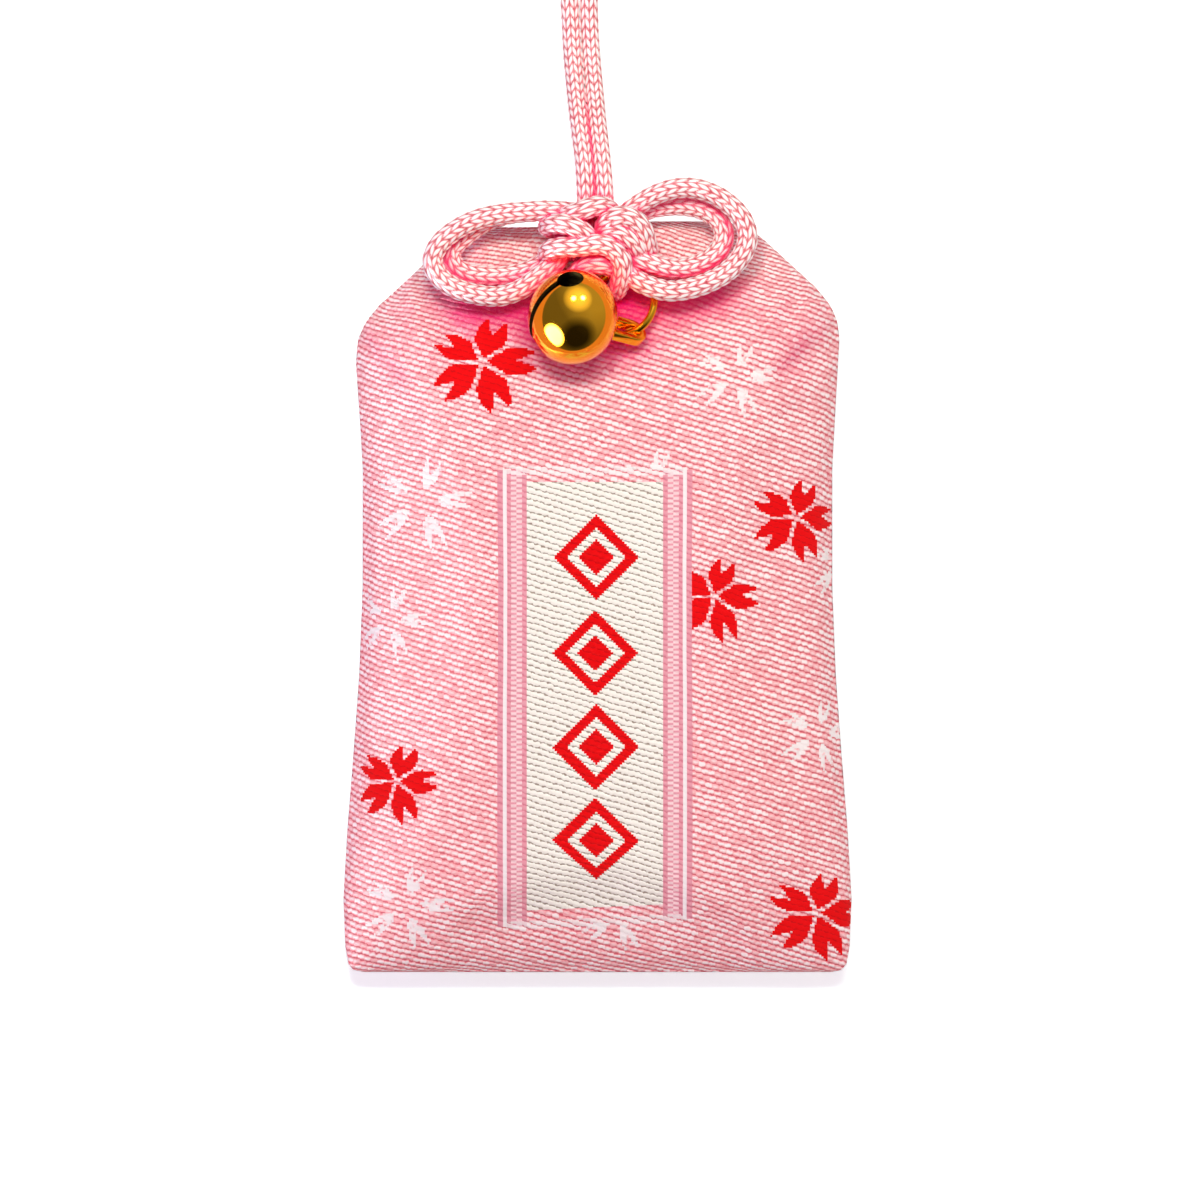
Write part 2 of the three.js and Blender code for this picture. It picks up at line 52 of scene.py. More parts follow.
# Camera, straight above the charm
VIEW_WIDTH = 117.9 * MM
VIEW_CENTRE = Vector((0.25 * MM, -2.4 * MM, 4 * MM))
CAMERA_HEIGHT = 0.8

camera_data = bpy.data.cameras.new("camera")
camera_data.sensor_width = 36
camera_data.lens = camera_data.sensor_width * CAMERA_HEIGHT / VIEW_WIDTH
camera_data.clip_start = 0.01
camera = bpy.data.objects.new("camera", camera_data)
camera.location = VIEW_CENTRE + Vector((0, 0, CAMERA_HEIGHT))
bpy.context.scene.collection.objects.link(camera)
bpy.context.scene.camera = camera

# Cord: routes in millimetres from the knot's origin, on the front cloth under the mouth's edge
KNOT_ORIGIN = np.array((0.0, 34.45, 6.48))
LOOP_DIAMETER = 1.95
BOW_DIAMETER = 2.1
KNOT_DIAMETER = 2.1
ON_TABLE = LOOP_DIAMETER / 2 + 0.06 - KNOT_ORIGIN[2]

LEFT_BOW = [
    (-2.4, 1.0, 2.7), (-3.6, 1.1, 3.2), (-5, 1.15, 3.6), (-7, 1.05, 3.5), (-9.2, 0.85, 3.3),
    (-11.6, 0.35, 3.2), (-13.8, -0.7, 3.1), (-15.5, -2.2, 3), (-16.1, -3.7, 2.9), (-15.6, -5.1, 2.9),
    (-14.1, -6.3, 2.9), (-12, -7, 3), (-9.6, -7.2, 3.1), (-7.6, -6.6, 3.2), (-6, -5.5, 3.2),
    (-4.6, -4.4, 3), (-3.6, -3.2, 2.7), (-3.2, -1.8, 2.6), (-3.6, -0.3, 1.9), (-4.9, 1, 1.4),
    (-6.8, 1.1, 1.3), (-8.8, 0.85, 1.2), (-11, 0.15, 1.1), (-13, -1.3, 1), (-14.3, -2.8, 1), (-14, -4.1, 1),
    (-12.8, -4.9, 1), (-11, -5.2, 1), (-9.2, -5.2, 1), (-7.6, -4.9, 1), (-6.2, -4.4, 1), (-4.4, -3.4, 1),
]
RIGHT_BOW = [
    (2.6, 0.7, 2.8), (3.4, 1.3, 3.2), (4.4, 2, 3.3), (5.9, 2.8, 3.4), (7.6, 3.3, 3.4), (9.3, 3.35, 3.3),
    (11, 2.9, 3.3), (12.7, 1.9, 3.2), (14.1, 0.4, 3.1), (14.65, -1.3, 3.1), (14.2, -3, 3.1),
    (12.9, -4.6, 3.2), (11, -5.8, 3.6), (9, -6.5, 4.05), (7, -6.75, 4.35), (5.4, -6.4, 4.3),
    (4.2, -5.9, 4), (3.2, -5.2, 3.5), (2.6, -4.2, 3), (2.6, -3, 2.7), (2.8, -1.8, 2.4), (3, -0.6, 1.7),
    (3.6, 0.5, 1.25), (4.8, 1.3, 1.1), (6.6, 1.7, 1), (8.8, 1.7, 1.1), (10.6, 1.2, 1.2), (11.9, 0.2, 1.4),
    (12.4, -1.2, 1.6), (12, -2.5, 1.8), (10.7, -3.7, 2.1), (8.9, -4.4, 2.4), (7.2, -4.5, 2.8),
    (5.6, -4.15, 3.25), (4.3, -3.65, 3.4), (3.2, -3.1, 3),
]
# The top wrap over the loop's roots, two wraps on the left, then the bar down through the bag and back
LEFT_STRAND = [
    (1.5, 0.4, 2.4), (1.1, 1.2, 3.6), (0.2, 1.5, 4.6), (-0.8, 1.3, 5.1), (-1.8, 0.9, 5), (-2.7, 0.6, 4.2),
    (-3, 0.3, 2.8), (-3, 0, 1.6), (-3.3, -0.3, 0.5), (-4.1, -0.4, 0.5), (-4.75, -0.4, 1.6), (-4.8, -0.4, 3),
    (-4.4, -0.3, 4.3), (-3.6, -0.25, 5.2), (-2.5, -0.5, 5.6), (-1.5, -1, 5.4), (-0.9, -1.6, 4.6),
    (-0.75, -2, 3.5), (-1.1, -2.3, 2.2), (-1.9, -2.6, 1), (-3.2, -2.8, 0.6), (-4.3, -2.9, 1),
    (-4.75, -2.95, 2.2), (-4.75, -2.85, 3.5), (-4.3, -2.65, 4.6), (-3.3, -2.5, 5.3), (-2.2, -2.5, 5.5),
    (-1, -2.35, 5.6), (0.1, -2.25, 5.6), (1.1, -2.5, 5.4), (1.9, -3.1, 5.1), (2.4, -4, 4.7), (2.4, -4.9, 4.1),
    (2.2, -5.8, 3.3), (1.95, -6.4, 2.2), (1.8, -6.6, 0.8), (1.8, -6.6, -1.8), (1.7, -6.6, -3.8),
    (1, -6.45, -5.1), (-0.2, -6.1, -5.3), (-1.4, -5.75, -5.1), (-2.2, -5.6, -3.8), (-2.4, -5.6, -1.8),
    (-2.4, -5.6, 0.5), (-2.2, -5.2, 2), (-1.6, -4.6, 3.2), (-0.7, -4.15, 3.9), (0.3, -4.1, 4),
    (1.2, -4.3, 3.4), (1.7, -4.6, 2.3),
]
# Two wraps on the right, side by side
RIGHT_STRAND = [
    (1.4, -0.3, -0.4), (3, -0.6, -0.5), (4.4, -1.6, -0.1), (4.9, -2.6, 1.2), (4.9, -2.6, 2.7),
    (4.75, -1.9, 4), (4.45, -0.9, 4.9), (3.8, -0.05, 5.4), (2.8, 0.45, 5.6), (1.7, 0.35, 5.4),
    (0.9, -0.15, 4.7), (0.6, -0.9, 3.6), (0.9, -1.7, 2.2), (2.1, -2.4, 1), (3.3, -2.75, 1), (4, -2.9, 2),
    (4, -2.75, 3.3), (3.75, -2.3, 4.3), (3.1, -1.55, 4.95), (2.2, -1, 5.1), (1.3, -1, 4.8), (0.8, -1.5, 4),
]
HANGING_LOOP = [
    (-1.12, -1.2, 2.1), (-1.12, 0.5, 2.4), (-1.12, 2.6, 2.5), (-1.3, 5.7, 1.9), (-1.72, 9.2, -0.1),
    (-2.16, 13.2, -2.8), (-2.5, 17.2, ON_TABLE + 0.6), (-2.74, 21.7, ON_TABLE), (-3.3, 31, ON_TABLE),
    (-3.9, 43, ON_TABLE), (-5.2, 55, ON_TABLE), (-6, 61, ON_TABLE), (-5.4, 65.5, ON_TABLE),
    (-2.8, 67.6, ON_TABLE), (-0.1, 65.8, ON_TABLE), (0.6, 61.5, ON_TABLE), (0.1, 55, ON_TABLE),
    (-0.4, 43, ON_TABLE), (-0.6, 31, ON_TABLE), (-0.83, 21.7, ON_TABLE), (-0.63, 17.2, ON_TABLE + 0.6),
    (-0.3, 13.2, -2.8), (0.08, 9.2, -0.1), (0.46, 5.7, 1.9), (0.68, 2.6, 2.5), (0.68, 0.5, 2.4),
    (0.68, -1.2, 2.1),
]

BRAID_PITCH = 1.05
BRAID_COLUMNS = 12
BRAID_DEPTH = 0.17
STITCH_SLANT = 0.75
STITCH_ROUNDING = 0.6
COLUMN_EDGE_HEIGHT = 0.35
CORD_STEP = 0.12
CORD_SIDES = 48
CURVE_STEPS = 40


def smooth_route(points, step):
    """Evenly spaced points on a centripetal curve through the route's points, and their distance along it."""
    route = np.array(points, float)
    before = 2 * route[0] - route[1]
    after = 2 * route[-1] - route[-2]
    ends = np.vstack([before, route, after])
    t = np.linspace(0, 1, CURVE_STEPS, endpoint=False)[:, None]
    stretches = []
    for i in range(len(route) - 1):
        p0, p1, p2, p3 = ends[i : i + 4]
        d0 = math.sqrt(np.linalg.norm(p1 - p0))
        d1 = math.sqrt(np.linalg.norm(p2 - p1))
        d2 = math.sqrt(np.linalg.norm(p3 - p2))
        start_pull = ((p1 - p0) / d0 - (p2 - p0) / (d0 + d1) + (p2 - p1) / d1) * d1
        end_pull = ((p2 - p1) / d1 - (p3 - p1) / (d1 + d2) + (p3 - p2) / d2) * d1
        from_ends = (2 * t**3 - 3 * t**2 + 1) * p1 + (3 * t**2 - 2 * t**3) * p2
        from_pulls = (t**3 - 2 * t**2 + t) * start_pull + (t**3 - t**2) * end_pull
        stretches.append(from_ends + from_pulls)
    dense = np.vstack(stretches + [route[-1:]])
    gone = np.linalg.norm(np.diff(dense, axis=0), axis=1)
    along = np.concatenate([[0], np.cumsum(gone)])
    even = np.linspace(0, along[-1], int(round(along[-1] / step)) + 1)
    path = np.stack([np.interp(even, along, dense[:, k]) for k in range(3)], axis=1)
    return path, even


def cross_directions(path):
    """Two directions across a path that are carried along it without twisting."""
    tangents = np.gradient(path, axis=0)
    tangents /= np.linalg.norm(tangents, axis=1)[:, None]
    side = np.cross(tangents[0], (0.0, 0.0, 1.0))
    sides = []
    for tangent in tangents:
        side = side - tangent * side.dot(tangent)
        side = side / np.linalg.norm(side)
        sides.append(side)
    sides = np.array(sides)
    return sides, np.cross(tangents, sides)


def braid_relief(along, angle):
    """Height of the plaits, 0 in the creases and 1 on the crowns: columns of stitches that slant by turns."""
    column = angle * BRAID_COLUMNS / (2 * math.pi)
    slant = np.abs(np.mod(column, 2) - 1)
    stitch = np.abs(np.sin(math.pi * (along / BRAID_PITCH + STITCH_SLANT * slant)))
    crown = 1 - np.abs(2 * np.mod(column, 1) - 1) ** 3
    return stitch**STITCH_ROUNDING * (COLUMN_EDGE_HEIGHT + (1 - COLUMN_EDGE_HEIGHT) * crown)


def smooth_mesh(name, vertices, faces):
    mesh = bpy.data.meshes.new(name)
    mesh.from_pydata([tuple(v) for v in vertices], [], faces)
    mesh.update()
    mesh.polygons.foreach_set("use_smooth", [True] * len(mesh.polygons))
    piece = bpy.data.objects.new(name, mesh)
    bpy.context.scene.collection.objects.link(piece)
    return piece


def braided_cord(name, points, diameter):
    """A closed tube along a route with its braid in relief; the relief is kept as an attribute."""
    path, along = smooth_route(points, CORD_STEP)
    path = path + KNOT_ORIGIN
    sides, ups = cross_directions(path)
    angles = np.arange(CORD_SIDES) * 2 * math.pi / CORD_SIDES
    relief = braid_relief(along[:, None], angles[None, :])
    radius = diameter / 2 - BRAID_DEPTH * (1 - relief)
    ring = np.cos(angles)[None, :, None] * sides[:, None] + np.sin(angles)[None, :, None] * ups[:, None]
    skin = (path[:, None] + ring * radius[:, :, None]).reshape(-1, 3)
    first, last = len(skin), len(skin) + 1
    end_ring = len(skin) - CORD_SIDES
    faces = []
    for j in range(CORD_SIDES):
        k = (j + 1) % CORD_SIDES
        for start in range(0, end_ring, CORD_SIDES):
            faces.append((start + j, start + k, start + CORD_SIDES + k, start + CORD_SIDES + j))
        faces.append((first, k, j))
        faces.append((last, end_ring + j, end_ring + k))
    piece = smooth_mesh(name, np.vstack([skin, path[:1], path[-1:]]) * MM, faces)
    braid = piece.data.attributes.new("braid", "FLOAT", "POINT")
    braid.data.foreach_set("value", np.append(relief.ravel(), (0, 0)).astype(np.float32))
    return piece, path * MM, along[-1] * MM


hanging_loop, loop_path, loop_length = braided_cord("hanging_loop_cord", HANGING_LOOP, LOOP_DIAMETER)
left_bow, _, _ = braided_cord("left_bow_cord", LEFT_BOW, BOW_DIAMETER)
right_bow, _, _ = braided_cord("right_bow_cord", RIGHT_BOW, BOW_DIAMETER)
left_strand, _, _ = braided_cord("knot_left_cord", LEFT_STRAND, KNOT_DIAMETER)
right_strand, _, _ = braided_cord("knot_right_cord", RIGHT_STRAND, KNOT_DIAMETER)

# Bag: a front and a back sheet sewn at the sides and the bottom, with the mouth's edges folded in
BAG_BOTTOM = -39.0
BAG_TOP = 34.8
BAG_MIDDLE = (BAG_TOP + BAG_BOTTOM) / 2
# The left shoulder sits lower than the right one, and so does the mouth's edge beside it
LEFT_SHOULDER_DROP = 1.8
LEFT_MOUTH_DROP = 0.55
SHOULDER_IN, SHOULDER_OUT = 11.0, 18.0
SHOULDER_START, SHOULDER_END = 12.0, 25.0
MOUTH_DROP_OUT = 4.0
MOUTH_DROP_START, MOUTH_DROP_END = 26.0, 34.0
SEAM_HEIGHT = 3.2
FRONT_CROWN = 4.7
BACK_LIFT = 2.3
BACK_FULLNESS = 1.15
LIFT_START, LIFT_END = 20.0, 27.5
PRESS_START, PRESS_END = 18.0, 32.8
MOUTH_PRESS = 0.3
MOUTH_SEAM_RISE = 0.5
MOUTH_GAPE = 1.0
GAPE_SIDE_SHARE = 0.35
GAPE_START, GAPE_END = BAG_TOP - 5, BAG_TOP - 1
FOLD_DEPTH = 5.0
FOLD_EDGE = 0.3
FOLD_SIDE_SHARE = 0.45
# Share of the fold's depth, and side towards the front (1) or the back (-1)
FOLD_STEPS = ((0.06, 0.9), (0.3, 0.6), (0.7, 0.4), (1, 0), (0.7, -0.4), (0.3, -0.6), (0.06, -0.9))
# Dent in the front cloth where the jump ring lies on it
DENT_X, DENT_Y = -0.4, 26.4
DENT_REACH = 3.0
DENT_DEPTH = 0.42
# Height along the bag and half width there
SIDE_LINE = [
    (-39.0, 22.9), (-38.8, 24.0), (-38.2, 24.5), (-36.5, 24.8), (-31.8, 25.0), (-25.0, 24.6), (-18.1, 24.05),
    (-10.0, 23.45), (-1.2, 23.1), (10.6, 23.1), (18.0, 23.5), (23.2, 23.8), (25.0, 23.6), (26.6, 22.9),
    (28.3, 21.5), (33.1, 16.3), (34.2, 14.8), (34.8, 12.6),
]
COLUMNS = 96
ROWS = 136
CLOTH_UNIT = 100.0
MERGE_DISTANCE = 0.005 * MM


def ease(value, start, end):
    t = np.clip((value - start) / (end - start), 0, 1)
    return t * t * (3 - 2 * t)


def half_width(y):
    heights, widths = np.array(SIDE_LINE).T
    return np.interp(y, heights, widths)


def spaced(count):
    """Shares from -1 to 1 that lie closer together at both ends."""
    return np.sin(np.linspace(-1, 1, count + 1) * math.pi / 2)


def pillow(column, row):
    """Swell of a sewn pillow: 1 in the middle and 0 at its edges."""
    return np.sqrt((1 - column**4) * (1 - row**4))


def seam_height(y):
    return SEAM_HEIGHT + MOUTH_SEAM_RISE * ease(y, LIFT_START, LIFT_END)


def bag_sheet(front):
    """Grid of points of one sheet in millimetres, rows from the bottom to the mouth."""
    row = spaced(ROWS)[:, None]
    column = spaced(COLUMNS)[None, :]
    y = BAG_MIDDLE + (BAG_TOP - BAG_MIDDLE) * row + 0 * column
    x = column * half_width(y)
    swell = pillow(column, row)
    gape = MOUTH_GAPE / 2 * ease(1 - np.abs(column), 0, GAPE_SIDE_SHARE) * ease(y, GAPE_START, GAPE_END)
    rim = seam_height(y)
    if front:
        press = 1 - MOUTH_PRESS * ease(y, PRESS_START, PRESS_END)
        dent = DENT_DEPTH * ease(DENT_REACH - np.hypot(x - DENT_X, y - DENT_Y), 0, DENT_REACH)
        z = rim + gape + FRONT_CROWN * press * swell - dent
    else:
        floor = BACK_LIFT * ease(y, LIFT_START, LIFT_END)
        z = rim - gape + (floor - rim + gape) * np.minimum(1, BACK_FULLNESS * swell)
    shoulder = ease(-x, SHOULDER_IN, SHOULDER_OUT)
    beside = ease(-x, 0, MOUTH_DROP_OUT) - shoulder
    drop = LEFT_SHOULDER_DROP * shoulder * ease(y, SHOULDER_START, SHOULDER_END)
    drop = drop + LEFT_MOUTH_DROP * beside * ease(y, MOUTH_DROP_START, MOUTH_DROP_END)
    return np.stack([x, y - drop, z], axis=2)


def cloth_lengths(sheet):
    """Distance over the cloth, across from its middle line and along from its middle row, in millimetres."""
    across = np.linalg.norm(np.diff(sheet, axis=1), axis=2)
    along = np.linalg.norm(np.diff(sheet, axis=0), axis=2)
    u = np.pad(np.cumsum(across, axis=1), ((0, 0), (1, 0)))
    v = np.pad(np.cumsum(along, axis=0), ((1, 0), (0, 0)))
    return u - u[:, COLUMNS // 2, None], v - v[None, ROWS // 2, :] + BAG_MIDDLE


front_sheet = bag_sheet(True)
back_sheet = bag_sheet(False)
front_u, front_v = cloth_lengths(front_sheet)


def on_cloth(x, y):
    """Place on the flat front cloth of a point seen from above."""
    gap = (front_sheet[:, :, 0] - x) ** 2 + (front_sheet[:, :, 1] - y) ** 2
    i, j = np.unravel_index(gap.argmin(), gap.shape)
    return front_u[i, j] + x - front_sheet[i, j, 0], front_v[i, j] + y - front_sheet[i, j, 1]


def mouth_fold():
    """Rows from the front's mouth edge down inside the bag and up to the back's mouth edge."""
    upper, lower = front_sheet[-1], back_sheet[-1]
    middle = (upper + lower) / 2
    depth = FOLD_DEPTH * ease(1 - np.abs(spaced(COLUMNS)), 0, FOLD_SIDE_SHARE)
    rows = []
    for down, side in FOLD_STEPS:
        fold = middle + side * (upper - middle)
        fold[:, 1] = fold[:, 1] - down * depth
        rows.append(fold)
    return np.array(rows)


def quads(index):
    """Faces of a grid of vertex numbers."""
    corners = np.stack([index[:-1, :-1], index[:-1, 1:], index[1:, 1:], index[1:, :-1]], axis=2)
    return corners.reshape(-1, 4)


def pick(piece):
    bpy.ops.object.select_all(action="DESELECT")
    bpy.context.view_layer.objects.active = piece
    piece.select_set(True)


def edit(piece):
    pick(piece)
    bpy.ops.object.mode_set(mode="EDIT")


def leave(piece):
    bpy.ops.object.mode_set(mode="OBJECT")
    piece.select_set(False)


def sewn_bag():
    """Front, fold and back as one closed mesh; its UV map is the flat cloth, 100 millimetres to a unit."""
    fold = mouth_fold()
    back_u, back_v = cloth_lengths(back_sheet)
    fold_u = np.tile(front_u[-1], (len(fold), 1))
    fold_v = front_v[-1] + np.linspace(FOLD_EDGE, 2 * FOLD_DEPTH, len(fold))[:, None]
    grid = np.concatenate([front_sheet, fold, back_sheet[::-1]])
    index = np.arange(grid.shape[0] * grid.shape[1]).reshape(grid.shape[:2])
    faces = quads(index)
    u = np.concatenate([front_u, fold_u, back_u[::-1]]).ravel() / CLOTH_UNIT
    v = np.concatenate([front_v, fold_v, back_v[::-1]]).ravel() / CLOTH_UNIT
    piece = smooth_mesh("brocade_bag", grid.reshape(-1, 3) * MM, faces.tolist())
    layer = piece.data.uv_layers.new(name="cloth")
    layer.data.foreach_set("uv", np.stack([u[faces], v[faces]], axis=2).astype(np.float32).ravel())
    fold_bottom = ROWS + (len(fold) + 1) // 2
    behind = np.repeat(np.arange(grid.shape[0] - 1) >= fold_bottom, COLUMNS)
    piece.data.polygons.foreach_set("material_index", behind.astype(np.int32))
    edit(piece)
    bpy.ops.mesh.select_all(action="SELECT")
    bpy.ops.mesh.remove_doubles(threshold=MERGE_DISTANCE)
    bpy.ops.mesh.normals_make_consistent(inside=False)
    leave(piece)
    return piece


# The bag is puffed at a larger scale, where the simulation is steadier
SIM_SCALE = 12.0
PUFF_LIMIT = 0.55
PUFF_FRAMES = 16
PUFF_SLACK = 0.012
PUFF_PRESSURE = 4.0
SEAM_GRIP = 0.02
MOUTH_GRIP = 0.75
# The bottom corners stay calm: over these distances aside and below the puff fades out
CALM_ASIDE = (10.0, 20.0)
CALM_BELOW = (24.0, 34.0)


def blown_up(mesh, rest, held):
    """Points of a sheet after a cloth simulation with pressure inside, run at a larger scale."""
    trial = bpy.data.objects.new("trial_bag", mesh.copy())
    trial.data.vertices.foreach_set("co", (rest * SIM_SCALE).ravel())
    trial.vertex_groups.new(name="held").add(np.flatnonzero(held).tolist(), 1.0, "REPLACE")
    bpy.context.scene.collection.objects.link(trial)
    cloth = trial.modifiers.new("cloth", "CLOTH")
    cloth.settings.vertex_group_mass = "held"
    cloth.settings.use_pressure = True
    cloth.settings.uniform_pressure_force = PUFF_PRESSURE
    cloth.settings.effector_weights.gravity = 0
    cloth.settings.shrink_min = -PUFF_SLACK
    for step in range(1, PUFF_FRAMES + 1):
        bpy.context.scene.frame_set(step)
    shown = trial.evaluated_get(bpy.context.evaluated_depsgraph_get())
    points = np.zeros(rest.size)
    shown.data.vertices.foreach_get("co", points)
    bpy.data.objects.remove(trial)
    bpy.context.scene.frame_set(1)
    return points.reshape(-1, 3) / SIM_SCALE


def puff(piece):
    """Puffs the bag with its seams and mouth held; each point may move only a little."""
    mesh = piece.data
    rest = np.zeros(len(mesh.vertices) * 3)
    mesh.vertices.foreach_get("co", rest)
    rest = rest.reshape(-1, 3)
    x, y, z = rest.T / MM
    from_seam = np.abs(z - seam_height(y))
    held = (from_seam < SEAM_GRIP) | ((from_seam < MOUTH_GRIP) & (y > BAG_TOP - FOLD_DEPTH - 1))
    move = blown_up(mesh, rest, held) - rest
    size = np.linalg.norm(move, axis=1) / MM
    move *= (PUFF_LIMIT * np.tanh(size / PUFF_LIMIT) / np.maximum(size, 1e-6))[:, None]
    move *= (1 - ease(np.abs(x), *CALM_ASIDE) * ease(-y, *CALM_BELOW))[:, None]
    place = rest + move
    place[:, 2] = np.maximum(place[:, 2], 0)
    mesh.vertices.foreach_set("co", place.ravel())
    mesh.update()


bag = sewn_bag()
puff(bag)

# Wadding between the wrapper and the front cloth
PAD_BOTTOM, PAD_TOP = -35.5, 22.0
PAD_MIDDLE = (PAD_TOP + PAD_BOTTOM) / 2
PAD_INSET = 3.4
PAD_FLOOR = 2.25
PAD_EDGE = 0.5
PAD_CROWN = 4.1
PAD_STEPS = 60
POCKET_HALF_WIDTH, POCKET_BOTTOM, POCKET_TOP, POCKET_HEIGHT = 12.4, -30.0, 16.0, 5.05
POCKET_ROUND = 1.5
POCKET_SIDE_ROUND = 1.4


def wadding_pad():
    """A soft crowned pad that is hollowed below for the wrapper."""
    row = spaced(PAD_STEPS)[:, None]
    column = spaced(PAD_STEPS)[None, :]
    y = PAD_MIDDLE + (PAD_TOP - PAD_MIDDLE) * row + 0 * column
    x = column * (half_width(y) - PAD_INSET)
    swell = pillow(column, row)
    top = PAD_FLOOR + PAD_EDGE + PAD_CROWN * swell
    over_wrapper = ease(POCKET_HALF_WIDTH + POCKET_ROUND - np.abs(x), 0, POCKET_SIDE_ROUND)
    over_wrapper = over_wrapper * ease(y, POCKET_BOTTOM - POCKET_ROUND, POCKET_BOTTOM)
    over_wrapper = over_wrapper * ease(-y, -POCKET_TOP - POCKET_ROUND, -POCKET_TOP)
    hollow = PAD_FLOOR + (POCKET_HEIGHT - PAD_FLOOR) * over_wrapper
    bottom = np.minimum(hollow, top - PAD_EDGE / 2)
    index = np.arange(x.size).reshape(x.shape)
    rim = np.concatenate([index[0], index[1:, -1], index[-1, -2::-1], index[-2:0:-1, 0]])
    after = np.roll(rim, -1)
    wall = np.stack([after, rim, rim + x.size, after + x.size], axis=1)
    faces = np.concatenate([quads(index), quads(index + x.size)[:, ::-1], wall])
    points = np.concatenate([np.stack([x, y, z], axis=2).reshape(-1, 3) for z in (top, bottom)])
    return smooth_mesh("wadding_pad", points * MM, faces.tolist())


wadding = wadding_pad()

# Bell, its ear and the jump ring, on the part's own places
RING_RADIUS = 3.24
RING_WIRE = 0.76
RING_SEGMENTS = 90
RING_JOIN_ANGLE = math.radians(138)
RING_CENTRE = Vector((2.4, 26.6, 8.38))
RING_TO_EYE = Vector((0.308, -0.894, 0.324)).normalized()
RING_ACROSS = Vector((0.915, 0.372, 0.156)).normalized()
BELL_HALF_WIDTH = 4.65
BELL_HALF_LENGTH = 4.3
BELL_WALL = 0.4
EAR_REACH = 2.6
EAR_HALF = 0.98
EAR_THICKNESS = 0.76
EAR_BREADTH = 1.0
EAR_EDGE = 0.14
EAR_STEPS = 14
SLIT_WIDTH = 0.8
SLIT_END_HOLE = 2.6
SLIT_END_ANGLE = math.radians(60)
SLIT_TURN = math.radians(72)

ear_axis = Vector((0.838, -0.202, -0.506)).normalized()
ear_normal = (RING_ACROSS - ear_axis * RING_ACROSS.dot(ear_axis)).normalized()
ear_side = ear_normal.cross(ear_axis)
bell_centre = RING_CENTRE + RING_TO_EYE * RING_RADIUS - ear_axis * (BELL_HALF_LENGTH + EAR_REACH)


def frame_of(place, x, y, z):
    """Matrix that sets a mesh with these three directions at a place in millimetres."""
    turn = Matrix((x, y, z)).transposed().to_4x4()
    return Matrix.Translation(place * MM) @ turn


bell_frame = frame_of(bell_centre, ear_side, ear_axis.cross(ear_side), ear_axis)
ring_frame = frame_of(RING_CENTRE, RING_TO_EYE, RING_ACROSS, RING_TO_EYE.cross(RING_ACROSS))


def apply_modifiers(piece):
    pick(piece)
    for modifier in list(piece.modifiers):
        bpy.ops.object.modifier_apply(modifier=modifier.name)
    piece.select_set(False)


def smooth_by_angle(piece, degrees):
    pick(piece)
    bpy.ops.object.shade_smooth_by_angle(angle=math.radians(degrees))
    piece.select_set(False)


def cut(piece, cutter):
    modifier = piece.modifiers.new("cut", "BOOLEAN")
    modifier.operation = "DIFFERENCE"
    modifier.solver = "EXACT"
    modifier.object = cutter
    apply_modifiers(piece)
    bpy.data.objects.remove(cutter)


def slit_cutter():
    """A bar across the bell's lower end, up to the height of the slit's ends."""
    bpy.ops.mesh.primitive_cube_add(size=1)
    slit = bpy.context.active_object
    length = 2 * BELL_HALF_WIDTH * math.sin(SLIT_END_ANGLE)
    depth = BELL_HALF_LENGTH * (math.cos(SLIT_END_ANGLE) + 0.5)
    slit.data.transform(Matrix.Diagonal((length * MM, SLIT_WIDTH * MM, BELL_HALF_LENGTH * MM, 1)))
    slit.data.transform(Matrix.Translation((0, 0, -depth * MM)))
    slit.data.transform(Matrix.Rotation(SLIT_TURN, 4, "Z"))
    return slit


def end_hole_cutter(side):
    """A round pin that goes into the bell at one end of the slit."""
    radius = SLIT_END_HOLE / 2 * MM
    bpy.ops.mesh.primitive_cylinder_add(vertices=48, radius=radius, depth=BELL_HALF_WIDTH * MM)
    hole = bpy.context.active_object
    hole.data.transform(Matrix.Translation((0, 0, -BELL_HALF_WIDTH * MM)))
    hole.data.transform(Matrix.Rotation(-side * SLIT_END_ANGLE, 4, "Y"))
    hole.data.transform(Matrix.Rotation(SLIT_TURN, 4, "Z"))
    return hole


def bell_body():
    """Pressed hollow ball with a slit between two round holes."""
    bpy.ops.mesh.primitive_uv_sphere_add(segments=96, ring_count=64, radius=BELL_HALF_WIDTH * MM)
    piece = bpy.context.active_object
    piece.name = "bell_body"
    piece.data.transform(Matrix.Diagonal((1, 1, BELL_HALF_LENGTH / BELL_HALF_WIDTH, 1)))
    wall = piece.modifiers.new("wall", "SOLIDIFY")
    wall.thickness = BELL_WALL * MM
    wall.offset = -1
    apply_modifiers(piece)
    cut(piece, slit_cutter())
    cut(piece, end_hole_cutter(-1))
    cut(piece, end_hole_cutter(1))
    for face in piece.data.polygons:
        face.material_index = int(face.normal.dot(face.center) < 0)
    piece.data.transform(bell_frame)
    smooth_by_angle(piece, degrees=40)
    return piece


